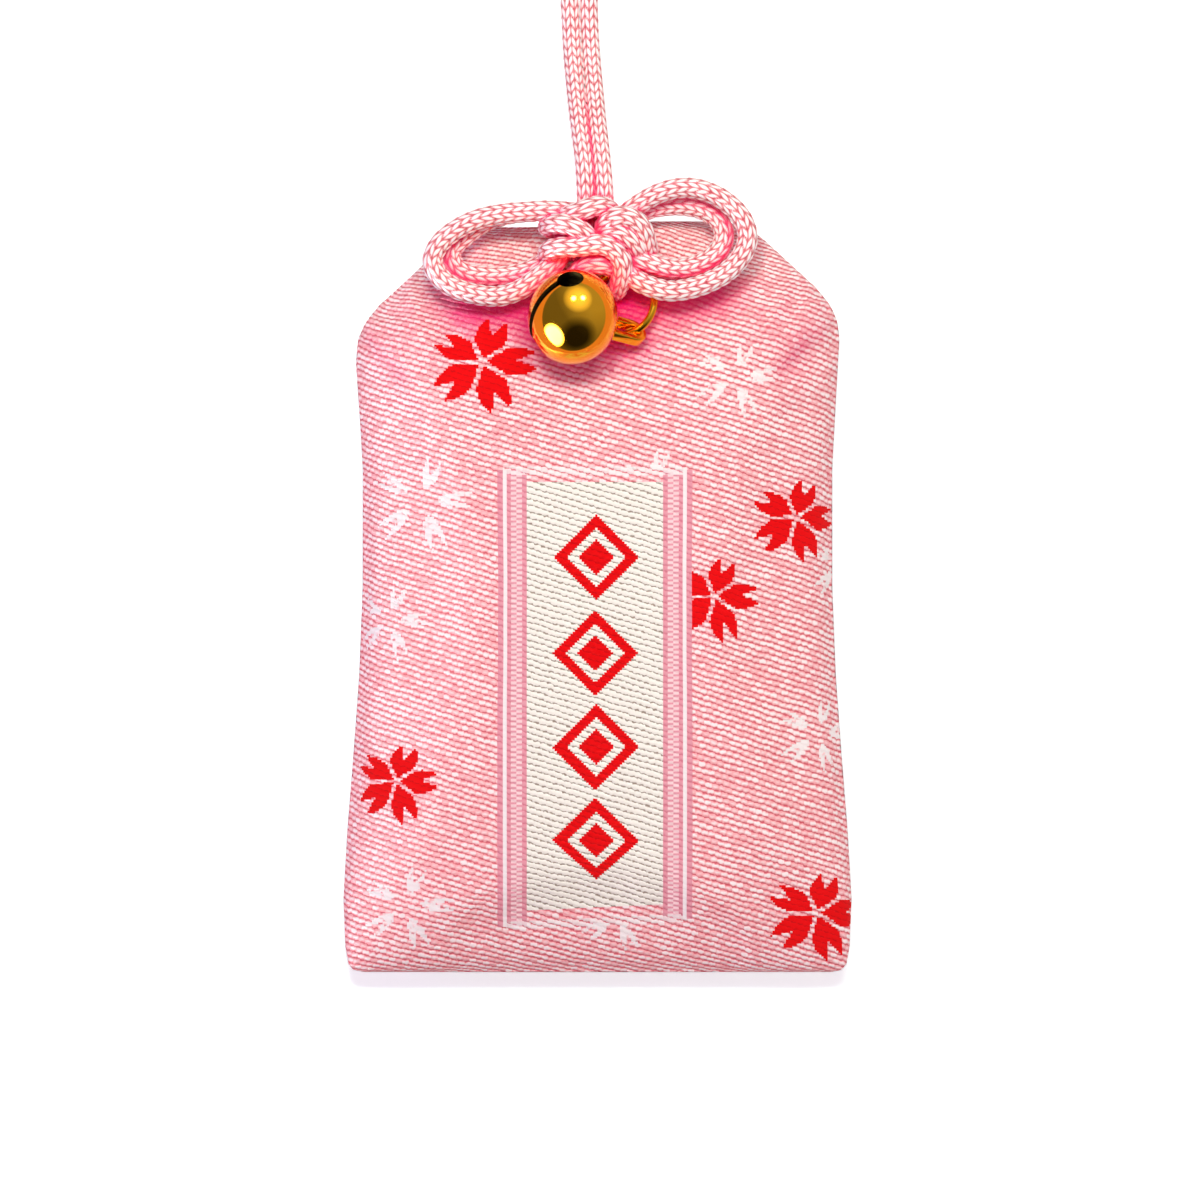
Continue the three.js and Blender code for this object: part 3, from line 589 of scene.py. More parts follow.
def bell_ear():
    """A strap that is extruded up one leg, spun over the head and extruded down the other leg."""
    foot = BELL_HALF_LENGTH - BELL_WALL
    leg = BELL_HALF_LENGTH + EAR_REACH - foot
    bpy.ops.mesh.primitive_plane_add(size=1)
    piece = bpy.context.active_object
    piece.name = "bell_ear"
    piece.data.transform(Matrix.Diagonal((EAR_THICKNESS * MM, EAR_BREADTH * MM, 1, 1)))
    piece.data.transform(Matrix.Translation((EAR_HALF * MM, 0, foot * MM)))
    edit(piece)
    bpy.ops.mesh.select_all(action="SELECT")
    bpy.ops.mesh.extrude_region_move(TRANSFORM_OT_translate={"value": (0, 0, leg * MM)})
    bpy.ops.mesh.spin(steps=EAR_STEPS, angle=math.pi, center=(0, 0, (foot + leg) * MM), axis=(0, 1, 0))
    bpy.ops.mesh.extrude_region_move(TRANSFORM_OT_translate={"value": (0, 0, -leg * MM)})
    bpy.ops.mesh.select_all(action="SELECT")
    bpy.ops.mesh.remove_doubles(threshold=MERGE_DISTANCE)
    bpy.ops.mesh.normals_make_consistent(inside=False)
    leave(piece)
    edges = piece.modifiers.new("edges", "BEVEL")
    edges.width = EAR_EDGE * MM
    edges.segments = 3
    edges.angle_limit = math.radians(50)
    apply_modifiers(piece)
    piece.data.transform(bell_frame)
    smooth_by_angle(piece, degrees=60)
    return piece


def jump_ring():
    """Bent wire with a narrow join, away from the bell."""
    bpy.ops.mesh.primitive_torus_add(
        major_radius=RING_RADIUS * MM,
        minor_radius=RING_WIRE / 2 * MM,
        major_segments=RING_SEGMENTS,
        minor_segments=20,
    )
    piece = bpy.context.active_object
    piece.name = "gold_jump_ring"
    edit(piece)
    bpy.ops.mesh.select_all(action="DESELECT")
    leave(piece)
    for face in piece.data.polygons:
        angle = math.atan2(face.center.y, face.center.x)
        face.select = abs(angle - RING_JOIN_ANGLE) < math.pi / RING_SEGMENTS
    edit(piece)
    bpy.ops.mesh.delete(type="FACE")
    bpy.ops.mesh.select_all(action="SELECT")
    bpy.ops.mesh.fill_holes(sides=0)
    bpy.ops.mesh.normals_make_consistent(inside=False)
    leave(piece)
    piece.data.transform(ring_frame)
    smooth_by_angle(piece, degrees=50)
    return piece


bell = bell_body()
ear = bell_ear()
ring = jump_ring()

# Materials
TOP_START, TOP_END = 4 * MM, 6.5 * MM


class Graph:
    """Short way to write chains of nodes in one node tree."""

    def __init__(self, tree):
        self.tree = tree

    def node(self, kind, **settings):
        node = self.tree.nodes.new(kind)
        for name, value in settings.items():
            setattr(node, name, value)
        return node

    def put(self, socket, value):
        if isinstance(value, bpy.types.NodeSocket):
            self.tree.links.new(value, socket)
        else:
            socket.default_value = value

    def do(self, operation, *values):
        node = self.node("ShaderNodeMath", operation=operation)
        for socket, value in zip(node.inputs, values):
            self.put(socket, value)
        return node.outputs[0]

    def add(self, a, b):
        return self.do("ADD", a, b)

    def sub(self, a, b):
        return self.do("SUBTRACT", a, b)

    def mul(self, a, b):
        return self.do("MULTIPLY", a, b)

    def less(self, a, b):
        return self.do("LESS_THAN", a, b)

    def more(self, a, b):
        return self.do("GREATER_THAN", a, b)

    def any_of(self, *values):
        total = values[0]
        for value in values[1:]:
            total = self.do("MAXIMUM", total, value)
        return total

    def all_of(self, *values):
        total = values[0]
        for value in values[1:]:
            total = self.mul(total, value)
        return total

    def between(self, value, low, high):
        return self.mul(self.more(value, low), self.less(value, high))

    def ramp(self, value, low, high):
        node = self.node("ShaderNodeMapRange")
        for socket, given in zip(node.inputs, (value, low, high, 0.0, 1.0)):
            self.put(socket, given)
        return node.outputs[0]

    def mix(self, factor, first, second):
        node = self.node("ShaderNodeMix", data_type="RGBA")
        self.put(node.inputs[0], factor)
        self.put(node.inputs[6], first)
        self.put(node.inputs[7], second)
        return node.outputs[2]

    def noise(self, vector, scale, detail=2.0):
        node = self.node("ShaderNodeTexNoise")
        self.put(node.inputs["Vector"], vector)
        node.inputs["Scale"].default_value = scale
        node.inputs["Detail"].default_value = detail
        return node.outputs["Fac"]

    def chance(self, x, y):
        """A number from 0 to 1 that differs for each pair of whole numbers."""
        place = self.node("ShaderNodeCombineXYZ")
        self.put(place.inputs[0], x)
        self.put(place.inputs[1], y)
        node = self.node("ShaderNodeTexWhiteNoise", noise_dimensions="2D")
        self.put(node.inputs["Vector"], place.outputs[0])
        return node.outputs["Value"]

    def place(self, axis):
        """Place along one axis of the charm, in metres."""
        place = self.node("ShaderNodeSeparateXYZ")
        self.put(place.inputs[0], self.node("ShaderNodeTexCoord").outputs["Object"])
        return place.outputs[axis]

    def occlusion_shade(self, distance, low, high, way=None):
        """How deep a point lies between other pieces, from 0 to 1, only on the top of the charm: an occlusion
        mask for painted shade.
        """
        node = self.node("ShaderNodeAmbientOcclusion", samples=4)
        node.inputs["Distance"].default_value = distance
        if way:
            facing = self.node("ShaderNodeCombineXYZ")
            for socket, value in zip(facing.inputs, way):
                socket.default_value = value
            self.put(node.inputs["Normal"], facing.outputs[0])
        closed = self.sub(1.0, node.outputs["AO"])
        on_top = self.ramp(self.place(2), TOP_START, TOP_END)
        return self.mul(self.ramp(closed, low, high), on_top)

    def bump(self, height, distance, strength=1.0):
        node = self.node("ShaderNodeBump")
        node.inputs["Strength"].default_value = strength
        node.inputs["Distance"].default_value = distance
        self.put(node.inputs["Height"], height)
        return node.outputs["Normal"]


def new_material(name):
    material = bpy.data.materials.new(name)
    material.use_nodes = True
    tree = material.node_tree
    return material, Graph(tree), tree.nodes["Principled BSDF"]


def rgb(red, green, blue):
    """A colour as it shows on a screen, given as the linear value that a socket takes."""
    shares = np.array((red, green, blue)) / 255
    linear = np.where(shares <= 0.04045, shares / 12.92, ((shares + 0.055) / 1.055) ** 2.4)
    return (*linear.tolist(), 1.0)


# Weave colours: each gap colour is partly the thread's own deeper colour and partly painted shade in the
# grooves between ribs; PINK_GLINT is a painted highlight on the floats
PINK_GAP = rgb(218, 94, 106)
PINK_RIB = rgb(247, 175, 178)
PINK_GLINT = rgb(255, 246, 244)
# Painted shade colour for the cloth in the bows' shade and between cords
PAINTED_SHADE_PINK = rgb(230, 0, 106)
FIELD_GAP = rgb(150, 132, 114)
FIELD_RIB = rgb(246, 243, 232)
STRIPE_GAP = rgb(214, 124, 142)
STRIPE_PINK = rgb(226, 146, 160)
PALE_RUNG = rgb(252, 226, 226)
WHITE_THREAD = rgb(246, 240, 238)
RED_THREAD = rgb(226, 2, 4)
RED_GAP = rgb(198, 2, 8)
# The crease colour is painted shade and the crown colour a painted highlight on the braid
CORD_CREASE = rgb(190, 62, 74)
CORD_PINK = rgb(238, 148, 152)
CORD_CROWN = rgb(255, 250, 247)
# Painted shade where strands lie close together
CORD_SHADE_PINK = rgb(255, 60, 128)
GOLD_DEEP = rgb(246, 170, 30)
GOLD_PALE = rgb(255, 188, 52)

TWILL_PITCH = 0.6
TWILL_SLOPE = math.tan(math.radians(17))
# Floats: the threads on the ribs, each rib's set off against the next one's, some a little astray
FLOAT_LENGTH = 0.66
FLOAT_TILT = 0.14
FLOAT_STAGGER = 0.31
FLOAT_STRAY = 0.12
FLOAT_RELIEF = 0.28
FLOAT_ROUNDING = 0.6
SHINE_SPREAD = 0.4
GLINT_START, GLINT_END = 0.48, 0.78
THREAD_STEP = 0.22
RUNG_PITCH = 0.5
# Pink shade under the bows, on the side that faces the lamps and down to the bell
LAMP_SIDE = (0.0, 0.6, 0.8)
BOWS_BOTTOM = 28.8 * MM
BOWS_EDGE = 1 * MM
BELL_SHADE_END = 15 * MM
BELL_SHADE_FADE = 8 * MM

# Blossoms seen from above: middle in millimetres and a petal's reach
RED_BLOSSOMS = [
    (-11.4, 20.8, 4.9), (19.8, 5.6, 4.2), (11.5, -2.15, 4.3), (-20.25, -20.2, 4.1), (21.4, -33.2, 4.6),
]
WHITE_BLOSSOMS = [
    (13.4, 19.4, 4.4), (-17.8, 7.2, 5.4), (-20.9, -4.4, 4.2), (23.9, 0.9, 4.2), (21.9, -15.5, 4.3),
    (-18.9, -32.4, 4.9), (1.9, -33.6, 4.2), (5.2, 8.9, 4.2),
]
BACK_RED_BLOSSOMS = [
    (-11.0, 17.0, 4.6), (12.0, 8.0, 4.2), (-14.0, -9.0, 4.3), (9.0, -24.0, 4.5), (18.0, 21.0, 4.0),
]
BACK_WHITE_BLOSSOMS = [
    (4.0, 19.0, 4.6), (-16.0, 4.0, 4.8), (15.0, -8.0, 4.6), (-9.0, -28.0, 4.8), (-1.0, -4.0, 4.6),
]

PETALS = 5
PETAL_TURN = math.radians(74)
PETAL_TIP = 1.1
PETAL_GAP = 0.055
# The weave makes each blossom broader than tall, and its upper half shorter
BLOSSOM_BREADTH = 0.91
BLOSSOM_HEIGHT = 0.95
UPPER_SHORTENING = 0.24

# Woven panel: middle, half sizes of the white field, and stripes outwards from its sides
PANEL_X = -0.25
FIELD_HALF_WIDTH = 6.65
FIELD_TOP, FIELD_BOTTOM = 9.1, -33.0
LADDER_START, LADDER_END = 0.46, 1.55
LINE_START, LINE_END = 1.95, 2.33
FRAME_END = 2.88
FRAME_TOP, FRAME_BOTTOM = 10.3, -34.55
BOTTOM_RISE = 0.047
END_ROW_IN, END_ROW_OUT = 0.5, 0.3
LOZENGE_MIDDLES = (1.6, -7.7, -16.9, -26.0)
LOZENGE_HALF = 4.2
LOZENGE_RIM = 0.68
LOZENGE_CORE = 0.42


def blossom_group(name, broad, notch_start, notch_slope, base):
    """Mask of five forked petals, from a place in millimetres and a petal's reach."""
    group = bpy.data.node_groups.new(name, "ShaderNodeTree")
    for socket in ("Across", "Along", "Reach"):
        group.interface.new_socket(socket, in_out="INPUT", socket_type="NodeSocketFloat")
    group.interface.new_socket("Petals", in_out="OUTPUT", socket_type="NodeSocketFloat")
    g = Graph(group)
    given = g.node("NodeGroupInput").outputs
    across = g.mul(given["Across"], BLOSSOM_BREADTH)
    upper = g.more(given["Along"], 0.0)
    along = g.mul(given["Along"], g.add(BLOSSOM_HEIGHT, g.mul(upper, UPPER_SHORTENING)))
    distance = g.do("SQRT", g.add(g.mul(across, across), g.mul(along, along)))
    distance = g.do("DIVIDE", distance, given["Reach"])
    sector = 2 * math.pi / PETALS
    angle = g.sub(g.do("ARCTAN2", along, across), PETAL_TURN)
    angle = g.do("WRAP", angle, sector / 2, -sector / 2)
    out = g.mul(distance, g.do("COSINE", angle))
    aside = g.do("ABSOLUTE", g.mul(distance, g.do("SINE", angle)))
    belly = (base + PETAL_TIP) / 2
    bow = g.do("DIVIDE", g.sub(out, belly), PETAL_TIP - belly)
    edge = g.mul(g.do("SQRT", g.do("MAXIMUM", g.sub(1.0, g.mul(bow, bow)), 0.0)), broad)
    gap = g.sub(g.mul(out, math.tan(sector / 2)), PETAL_GAP)
    notch = g.mul(g.sub(out, notch_start), notch_slope)
    petals = g.all_of(g.less(aside, edge), g.less(aside, gap), g.more(aside, notch))
    g.put(g.node("NodeGroupOutput").inputs["Petals"], petals)
    return group


def blossoms(g, group, u, v, places):
    masks = []
    for middle_u, middle_v, reach in places:
        node = g.node("ShaderNodeGroup", node_tree=group)
        g.put(node.inputs["Across"], g.sub(u, middle_u))
        g.put(node.inputs["Along"], g.sub(v, middle_v))
        node.inputs["Reach"].default_value = reach
        masks.append(node.outputs["Petals"])
    return g.any_of(*masks)


def from_above(places):
    return [(*on_cloth(x, y), reach) for x, y, reach in places]


def from_panel(g, u):
    """Distance aside from the white field's edges, less than 0 inside."""
    return g.sub(g.do("ABSOLUTE", g.sub(u, PANEL_X)), FIELD_HALF_WIDTH)


def lozenges(g, u, v):
    """Mask of a column of lozenges, each a rim round a filled core."""
    masks = []
    for middle in LOZENGE_MIDDLES:
        far = g.add(g.do("ABSOLUTE", g.sub(u, PANEL_X)), g.do("ABSOLUTE", g.sub(v, middle)))
        masks.append(g.between(far, LOZENGE_HALF * LOZENGE_RIM, LOZENGE_HALF))
        masks.append(g.less(far, LOZENGE_HALF * LOZENGE_CORE))
    return g.any_of(*masks)


def woven_panel(g, colour, red, flat, weave):
    """The framed white field with its red lozenges, laid over the brocade."""
    u, v, step_u, step_v, height = weave
    aside = from_panel(g, u)
    level_v = g.sub(v, g.mul(u, BOTTOM_RISE))
    field = g.all_of(g.less(aside, 0.0), g.less(v, FIELD_TOP), g.more(level_v, FIELD_BOTTOM))
    framed = g.all_of(g.less(v, FRAME_TOP), g.more(level_v, FRAME_BOTTOM), g.more(aside, 0.0))
    stripes = g.mul(framed, g.less(aside, FRAME_END))
    ladder = g.mul(framed, g.between(aside, LADDER_START, LADDER_END))
    line = g.mul(framed, g.between(aside, LINE_START, LINE_END))
    top_row = g.between(v, FRAME_TOP - END_ROW_IN, FRAME_TOP + END_ROW_OUT)
    bottom_row = g.between(level_v, FRAME_BOTTOM - END_ROW_OUT, FRAME_BOTTOM + END_ROW_IN)
    end_rows = g.all_of(g.less(aside, LINE_END), g.any_of(top_row, bottom_row), g.ramp(height, 0.1, 0.4))
    stripe = g.mix(g.ramp(height, 0.1, 0.6), STRIPE_GAP, STRIPE_PINK)
    rung_row = g.mul(g.more(aside, (LADDER_START + LADDER_END) / 2), 0.5)
    rung = g.do("FRACT", g.add(g.do("DIVIDE", v, RUNG_PITCH), rung_row))
    rungs = g.mix(g.ramp(g.do("SINE", g.mul(rung, math.pi)), 0.3, 0.9), STRIPE_PINK, PALE_RUNG)
    white = g.mix(g.ramp(height, 0.08, 0.42), FIELD_GAP, FIELD_RIB)
    colour = g.mix(field, colour, white)
    colour = g.mix(g.mul(stripes, 0.9), colour, stripe)
    colour = g.mix(g.mul(ladder, 0.8), colour, rungs)
    colour = g.mix(g.any_of(g.mul(line, 0.95), g.mul(end_rows, 0.7)), colour, WHITE_THREAD)
    red = g.any_of(red, g.mul(field, lozenges(g, step_u, step_v)))
    return colour, red, g.any_of(flat, g.mul(stripes, 0.6), line)


def twill(g, u, v, waver):
    """Slanting ribs of short floats: height from 0 to 1, and glint of the floats that catch the light."""
    rib = g.do("DIVIDE", g.add(g.add(v, g.mul(u, TWILL_SLOPE)), waver), TWILL_PITCH)
    rib_number = g.do("FLOOR", rib)
    shift = g.mul(g.chance(rib_number, 3.0), FLOAT_STRAY)
    thread = g.add(g.do("DIVIDE", u, FLOAT_LENGTH), g.add(g.mul(rib_number, FLOAT_STAGGER), shift))
    along_float = g.do("FRACT", thread)
    thread_height = g.do("POWER", g.do("SINE", g.mul(along_float, math.pi)), FLOAT_ROUNDING)
    tilted = g.sub(g.do("FRACT", rib), g.mul(g.sub(along_float, 0.5), FLOAT_TILT))
    rib_height = g.do("SINE", g.mul(g.ramp(tilted, 0.0, 1.0), math.pi))
    height = g.mul(rib_height, g.add(g.mul(thread_height, FLOAT_RELIEF), 1 - FLOAT_RELIEF))
    shine = g.chance(rib_number, g.do("FLOOR", thread))
    shine = g.add(g.mul(shine, SHINE_SPREAD), 1 - SHINE_SPREAD)
    return height, g.ramp(g.mul(height, shine), GLINT_START, GLINT_END)


def pink_shade(g):
    """Mask of the cloth that lies in the shade of the bows or between cords."""
    below = g.ramp(g.place(1), BOWS_BOTTOM + BOWS_EDGE, BOWS_BOTTOM)
    near = g.ramp(g.place(1), BELL_SHADE_END, BELL_SHADE_END + BELL_SHADE_FADE)
    under_bows = g.all_of(g.occlusion_shade(4.2 * MM, 0.13, 0.28, LAMP_SIDE), below, near)
    between_cords = g.mul(g.occlusion_shade(3 * MM, 0.5, 0.8), 0.7)
    return g.any_of(under_bows, between_cords)


def brocade(name, red_places, white_places, with_panel):
    """Satin twill with blossoms woven in."""
    material, g, shader = new_material(name)
    cloth = g.node("ShaderNodeUVMap", uv_map="cloth").outputs[0]
    place = g.node("ShaderNodeSeparateXYZ")
    g.put(place.inputs[0], cloth)
    u = g.mul(place.outputs[0], CLOTH_UNIT)
    v = g.mul(place.outputs[1], CLOTH_UNIT)
    waver = g.mul(g.sub(g.noise(cloth, scale=60.0), 0.5), 0.35)
    waver = g.add(waver, g.mul(g.sub(g.noise(cloth, scale=320.0, detail=0.0), 0.5), 0.2))
    height, glint = twill(g, u, v, waver)
    pink = g.mix(g.ramp(height, 0.1, 0.5), PINK_GAP, PINK_RIB)
    # Painted highlight: floats that catch the lamps are mixed towards white
    pink = g.mix(g.mul(glint, 0.9), pink, PINK_GLINT)

    step_u = g.do("SNAP", u, THREAD_STEP)
    step_v = g.do("SNAP", g.add(v, g.mul(waver, 0.4)), THREAD_STEP)
    red = blossoms(g, red_blossom, step_u, step_v, red_places)
    white = blossoms(g, white_blossom, step_u, step_v, white_places)
    if with_panel:
        on_panel = g.mul(g.between(v, FRAME_BOTTOM, FRAME_TOP), g.less(from_panel(g, u), FRAME_END))
        clear = g.sub(1.0, on_panel)
        red = g.mul(red, clear)
        white = g.mul(white, clear)
    worn = g.ramp(g.noise(cloth, scale=130.0), 0.3, 0.45)
    white = g.mul(white, worn)
    colour = g.mix(g.mul(white, 0.92), pink, WHITE_THREAD)
    flat = g.any_of(g.mul(white, 0.7), red)
    if with_panel:
        weave = (u, v, step_u, step_v, height)
        colour, red, flat = woven_panel(g, colour, red, flat, weave)

    # Painted shade: the cloth in the bows' shade and between cords turns deep pink
    colour = g.mix(pink_shade(g), colour, PAINTED_SHADE_PINK)
    colour = g.mix(red, colour, g.mix(g.ramp(height, 0.02, 0.3), RED_GAP, RED_THREAD))
    relief = g.mul(height, g.sub(1.0, g.mul(flat, 0.8)))
    g.put(shader.inputs["Base Color"], colour)
    g.put(shader.inputs["Roughness"], g.add(0.42, g.mul(red, 0.4)))
    g.put(shader.inputs["Normal"], g.bump(relief, distance=0.1 * MM))
    shader.inputs["Specular IOR Level"].default_value = 0.4
    return material


def silk_cord():
    """Glossy pink braid: salmon creases that are painted shade, pale crowns that are a painted highlight, and
    deep pink painted shade where strands lie close together.
    """
    material, g, shader = new_material("silk_cord")
    braid = g.node("ShaderNodeAttribute", attribute_name="braid").outputs["Fac"]
    spot = g.node("ShaderNodeTexCoord").outputs["Object"]
    yarn = g.noise(spot, scale=5000.0, detail=1.0)
    uneven = g.mul(g.sub(g.noise(spot, scale=900.0, detail=1.0), 0.5), 0.3)
    crown = g.add(braid, uneven)
    # Painted shade in the creases and a painted highlight on the crowns
    colour = g.mix(g.ramp(crown, 0.12, 0.48), CORD_CREASE, CORD_PINK)
    colour = g.mix(g.ramp(crown, 0.46, 0.74), colour, CORD_CROWN)
    # Painted shade: deep pink where strands lie close together and shade each other
    colour = g.mix(g.mul(g.occlusion_shade(3.5 * MM, 0.32, 0.66), 0.92), colour, CORD_SHADE_PINK)
    g.put(shader.inputs["Base Color"], colour)
    g.put(shader.inputs["Normal"], g.bump(yarn, distance=0.03 * MM, strength=0.5))
    shader.inputs["Roughness"].default_value = 0.34
    return material


def bright_gold(name, roughness):
    """Bright gold plating with faint rolled unevenness."""
    material, g, shader = new_material(name)
    spot = g.node("ShaderNodeTexCoord").outputs["Object"]
    uneven = g.noise(spot, scale=380.0, detail=3.0)
    g.put(shader.inputs["Base Color"], g.mix(uneven, GOLD_DEEP, GOLD_PALE))
    g.put(shader.inputs["Normal"], g.bump(uneven, distance=0.02 * MM, strength=0.35))
    shader.inputs["Metallic"].default_value = 1.0
    shader.inputs["Roughness"].default_value = roughness
    return material


FIBRE_SCALE = (6, 1, 6)


def fibrous(name, dark, light, scale, roughness, metallic=0.0):
    """Plain stock with fine fibres or grain along the charm."""
    material, g, shader = new_material(name)
    mapping = g.node("ShaderNodeMapping")
    mapping.inputs["Scale"].default_value = FIBRE_SCALE
    g.put(mapping.inputs["Vector"], g.node("ShaderNodeTexCoord").outputs["Object"])
    grain = g.noise(mapping.outputs[0], scale, detail=4.0)
    g.put(shader.inputs["Base Color"], g.mix(grain, dark, light))
    g.put(shader.inputs["Normal"], g.bump(grain, distance=0.05 * MM, strength=0.4))
    shader.inputs["Roughness"].default_value = roughness
    shader.inputs["Metallic"].default_value = metallic
    return material


red_blossom = blossom_group("red_blossom", broad=0.295, notch_start=0.62, notch_slope=0.42, base=0.08)
white_blossom = blossom_group("white_blossom", broad=0.15, notch_start=0.5, notch_slope=0.3, base=0.28)
front_brocade = brocade(
    "front_brocade", from_above(RED_BLOSSOMS), from_above(WHITE_BLOSSOMS), with_panel=True
)
back_brocade = brocade("back_brocade", BACK_RED_BLOSSOMS, BACK_WHITE_BLOSSOMS, with_panel=False)
cord_silk = silk_cord()
bell_gold = bright_gold("bell_gold", roughness=0.07)
ring_gold = bright_gold("ring_gold", roughness=0.14)
# Painted shade: the bell's inside is a dark metal that stands in for the shade in its hollow
bell_inside_shade = fibrous(
    "bell_inside_shade", rgb(48, 40, 22), rgb(70, 58, 30), scale=300.0, roughness=0.6, metallic=1.0
)
batting = fibrous("batting", rgb(236, 232, 224), rgb(252, 250, 246), scale=900.0, roughness=0.95)
card_stock = fibrous("card_stock", rgb(170, 150, 122), rgb(198, 180, 152), scale=700.0, roughness=0.9)
wrapper_paper = fibrous("wrapper_paper", rgb(232, 224, 204), rgb(250, 246, 234), scale=600.0, roughness=0.9)
slip_wood = fibrous("slip_wood", rgb(196, 158, 104), rgb(228, 198, 150), scale=260.0, roughness=0.7)
pellet_steel = fibrous(
    "pellet_steel", rgb(140, 142, 146), rgb(176, 178, 182), scale=500.0, roughness=0.35, metallic=1.0
)

bag.data.materials.append(front_brocade)
bag.data.materials.append(back_brocade)
for cord in (hanging_loop, left_bow, right_bow, left_strand, right_strand):
    cord.data.materials.append(cord_silk)
bell.data.materials.append(bell_gold)
bell.data.materials.append(bell_inside_shade)
ear.data.materials.append(bell_gold)
ring.data.materials.append(ring_gold)
wadding.data.materials.append(batting)
kept_nodes = {
    "stiffening_card": card_stock,
    "slip_wrapper": wrapper_paper,
    "prayer_slip": slip_wood,
    "bell_pellet": pellet_steel,
}
for node, material in kept_nodes.items():
    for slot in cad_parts[node].material_slots:
        slot.material = material

# What each piece stands for and moves with
for piece, slot, body, nodes in (
    (bag, "brocade", "charm", ("front_panel", "back_panel")),
    (wadding, "wadding", "charm", ("wadding",)),
    (left_bow, "cord", "charm", ("left_bow",)),
    (right_bow, "cord", "charm", ("right_bow",)),
    (left_strand, "cord", "charm", ("knot_left_strand",)),
    (right_strand, "cord", "charm", ("knot_right_strand",)),
    (bell, "bell_gold", "bell", ("bell_shell",)),
    (ear, "bell_gold", "bell", ()),
    (ring, "ring_gold", "ring", ("jump_ring",)),
):
    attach(piece, body)
    if nodes:
        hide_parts(*nodes)
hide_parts("hanging_loop", "loop_root")
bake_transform(hanging_loop)

# Table, light and background
TABLE_SIZE = 4.0
TABLE_DROP = 0.2 * MM
TABLE_WHITE = (0.76, 0.94, 0.9, 1)
MIRRORED_TABLE = (0.92, 0.45, 0.38, 1)
GLOW_START, GLOW_END = 150 * MM, 600 * MM
MOUTH_GLOW_START, MOUTH_GLOW_END = 30 * MM, 37 * MM


def seen_ray(g, path):
    """Rays that come straight from the camera."""
    return g.any_of(path["Is Camera Ray"], path["Is Transmission Ray"])


def mirrored_ray(g, path):
    """Rays that a shiny piece mirrors, with no matt piece on their way."""
    return g.mul(path["Is Glossy Ray"], g.less(path["Diffuse Depth"], 0.5))


def white_table():
    """A white sheet that glows to the camera, more so far out and above the mouth; rosy in reflections."""
    bpy.ops.mesh.primitive_plane_add(size=TABLE_SIZE, location=(0, 0, -TABLE_DROP))
    table = bpy.context.active_object
    table.name = "white_table"
    material, g, shader = new_material("white_table")
    shader.inputs["Base Color"].default_value = TABLE_WHITE
    shader.inputs["Roughness"].default_value = 0.9
    path = g.node("ShaderNodeLightPath").outputs
    glow = g.node("ShaderNodeEmission")
    reach = g.node("ShaderNodeVectorMath", operation="LENGTH")
    g.put(reach.inputs[0], g.node("ShaderNodeTexCoord").outputs["Object"])
    far_out = g.ramp(reach.outputs["Value"], GLOW_START, GLOW_END)
    above_mouth = g.mul(g.ramp(g.place(1), MOUTH_GLOW_START, MOUTH_GLOW_END), 0.7)
    level = g.add(0.5, g.mul(g.any_of(far_out, above_mouth), 0.5))
    g.put(glow.inputs["Strength"], g.mul(seen_ray(g, path), level))
    lit = g.node("ShaderNodeAddShader")
    g.put(lit.inputs[0], shader.outputs[0])
    g.put(lit.inputs[1], glow.outputs[0])
    mirrored = g.node("ShaderNodeEmission")
    mirrored.inputs["Color"].default_value = MIRRORED_TABLE
    mirrored.inputs["Strength"].default_value = 0.9
    either = g.node("ShaderNodeMixShader")
    g.put(either.inputs[0], mirrored_ray(g, path))
    g.put(either.inputs[1], lit.outputs[0])
    g.put(either.inputs[2], mirrored.outputs[0])
    g.put(material.node_tree.nodes["Material Output"].inputs["Surface"], either.outputs[0])
    table.data.materials.append(material)


def lamp(name, place, size, watts, colour):
    """A round lamp over the charm; the mirrored lamps are drawn in the room."""
    data = bpy.data.lights.new(name, "AREA")
    data.shape = "DISK"
    data.size = size
    data.energy = watts
    data.color = colour
    light = bpy.data.objects.new(name, data)
    light.location = place
    light.rotation_euler = (-light.location).to_track_quat("-Z", "Y").to_euler()
    light.visible_glossy = False
    bpy.context.scene.collection.objects.link(light)


SHADE_TINT = (1.0, 0.6, 0.78, 1.0)
LAMP_SPOT = (0.9935, 0.997)
LAMP_LEVEL = 34.0
THROWN_LEVEL = 22.0


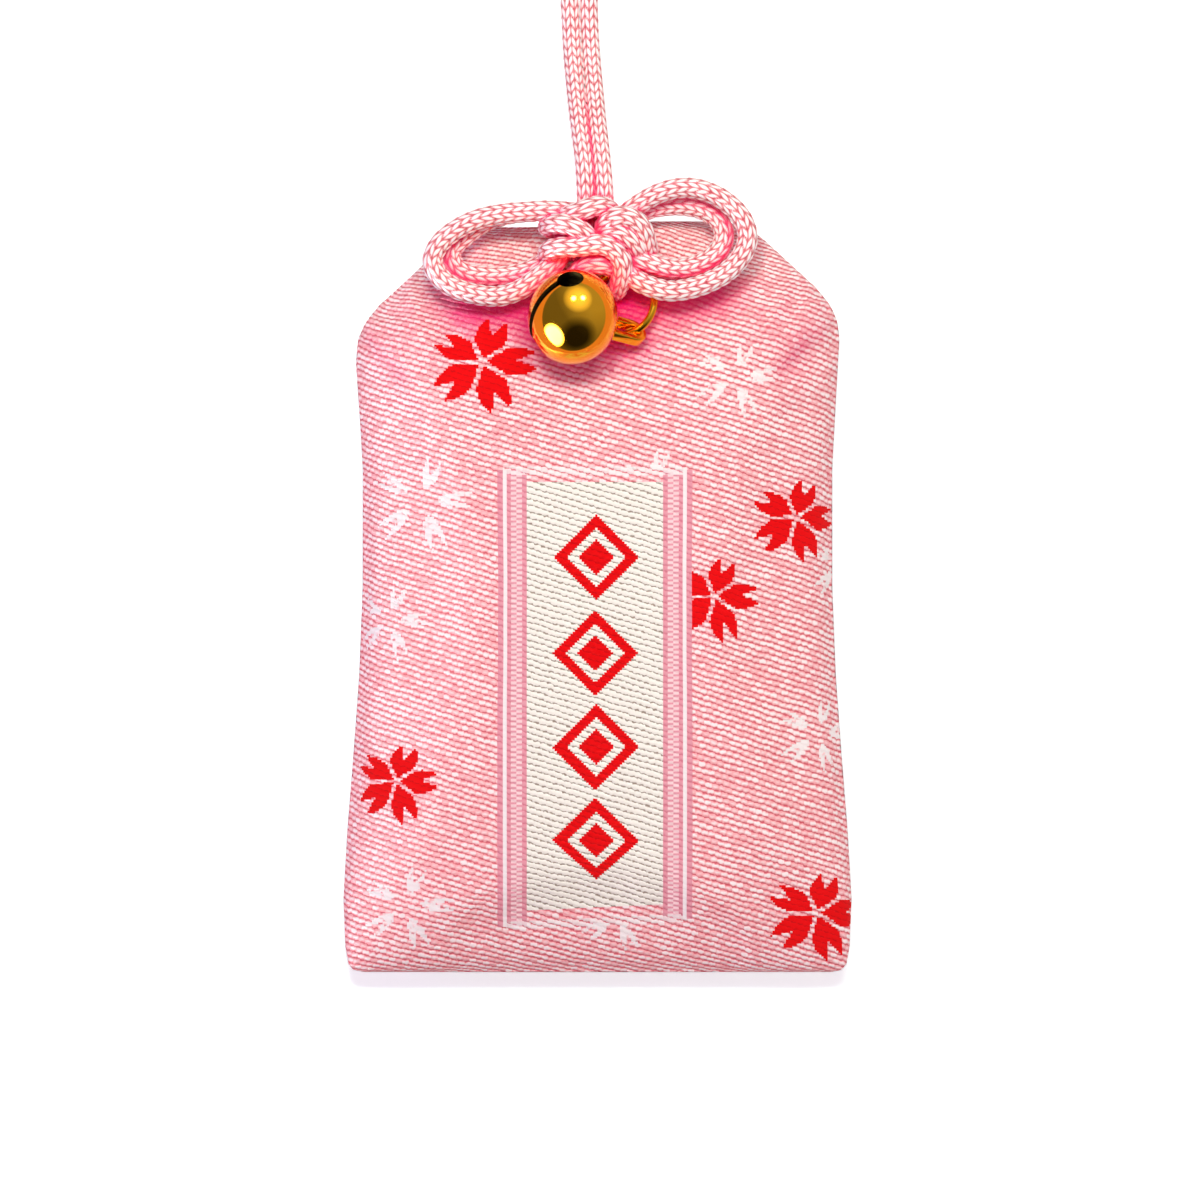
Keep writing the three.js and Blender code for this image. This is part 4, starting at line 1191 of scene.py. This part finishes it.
def room():
    """White to the camera, a rosy ceiling for the light, and a dim room with a window in reflections."""
    world = bpy.data.worlds.new("room")
    world.use_nodes = True
    bpy.context.scene.world = world
    world.node_tree.nodes.clear()
    g = Graph(world.node_tree)
    path = g.node("ShaderNodeLightPath").outputs
    direction = g.node("ShaderNodeTexCoord").outputs["Generated"]

    def towards(way, low, high):
        along = g.node("ShaderNodeVectorMath", operation="DOT_PRODUCT")
        g.put(along.inputs[0], direction)
        along.inputs[1].default_value = Vector(way).normalized()
        return g.ramp(along.outputs["Value"], low, high)

    ceiling = g.add(0.12, g.mul(towards((0, 0, 1), 0.0, 0.9), 0.36))
    window = g.mul(towards((-0.76, -0.58, 0.28), 0.9, 0.95), 26.0)
    left_lamp = g.mul(towards((-0.1, 0.71, 0.7), *LAMP_SPOT), LAMP_LEVEL)
    right_lamp = g.mul(towards((0.29, 0.71, 0.64), *LAMP_SPOT), LAMP_LEVEL)
    lamp_glow = g.mul(towards((0.1, 0.72, 0.68), 0.8, 0.99), 1.1)
    side_light = g.mul(towards((0.7, 0.6, 0.35), 0.0, 0.9), 0.3)
    shade = g.sub(1.0, g.mul(towards((0.1, -0.72, 0.62), 0.62, 0.9), 0.9))
    mirrored = g.mul(g.add(0.17, side_light), shade)
    for light in (window, left_lamp, right_lamp, lamp_glow):
        mirrored = g.add(mirrored, light)
    seen = seen_ray(g, path)
    glossy = mirrored_ray(g, path)
    # The gold throws the lamps' light on to the cloth around it
    thrown = g.all_of(path["Is Glossy Ray"], g.more(path["Diffuse Depth"], 0.5), lamp_glow, THROWN_LEVEL)
    level = g.add(g.mul(ceiling, g.sub(1.0, glossy)), g.add(g.mul(mirrored, glossy), thrown))
    level = g.any_of(level, seen)
    background = g.node("ShaderNodeBackground")
    g.put(background.inputs["Strength"], level)
    g.put(background.inputs["Color"], g.mix(g.any_of(glossy, seen), SHADE_TINT, (1, 1, 1, 1)))
    g.put(g.node("ShaderNodeOutputWorld").inputs["Surface"], background.outputs[0])


KEY_COLOUR = (0.86, 1.0, 0.88)
FILL_COLOUR = (1.0, 0.94, 0.96)
SIDE_VIOLET = (0.62, 0.3, 1.0)

white_table()
lamp("key_left", place=(-0.03, 0.125, 0.31), size=0.06, watts=0.56, colour=KEY_COLOUR)
lamp("key_right", place=(0.05, 0.125, 0.31), size=0.06, watts=0.29, colour=KEY_COLOUR)
lamp("fill", place=(0.3, -0.12, 0.24), size=0.2, watts=0.28, colour=FILL_COLOUR)
lamp("violet_side", place=(-0.3, 0.0, 0.09), size=0.1, watts=0.18, colour=SIDE_VIOLET)
room()

bpy.context.scene.view_settings.view_transform = "Standard"
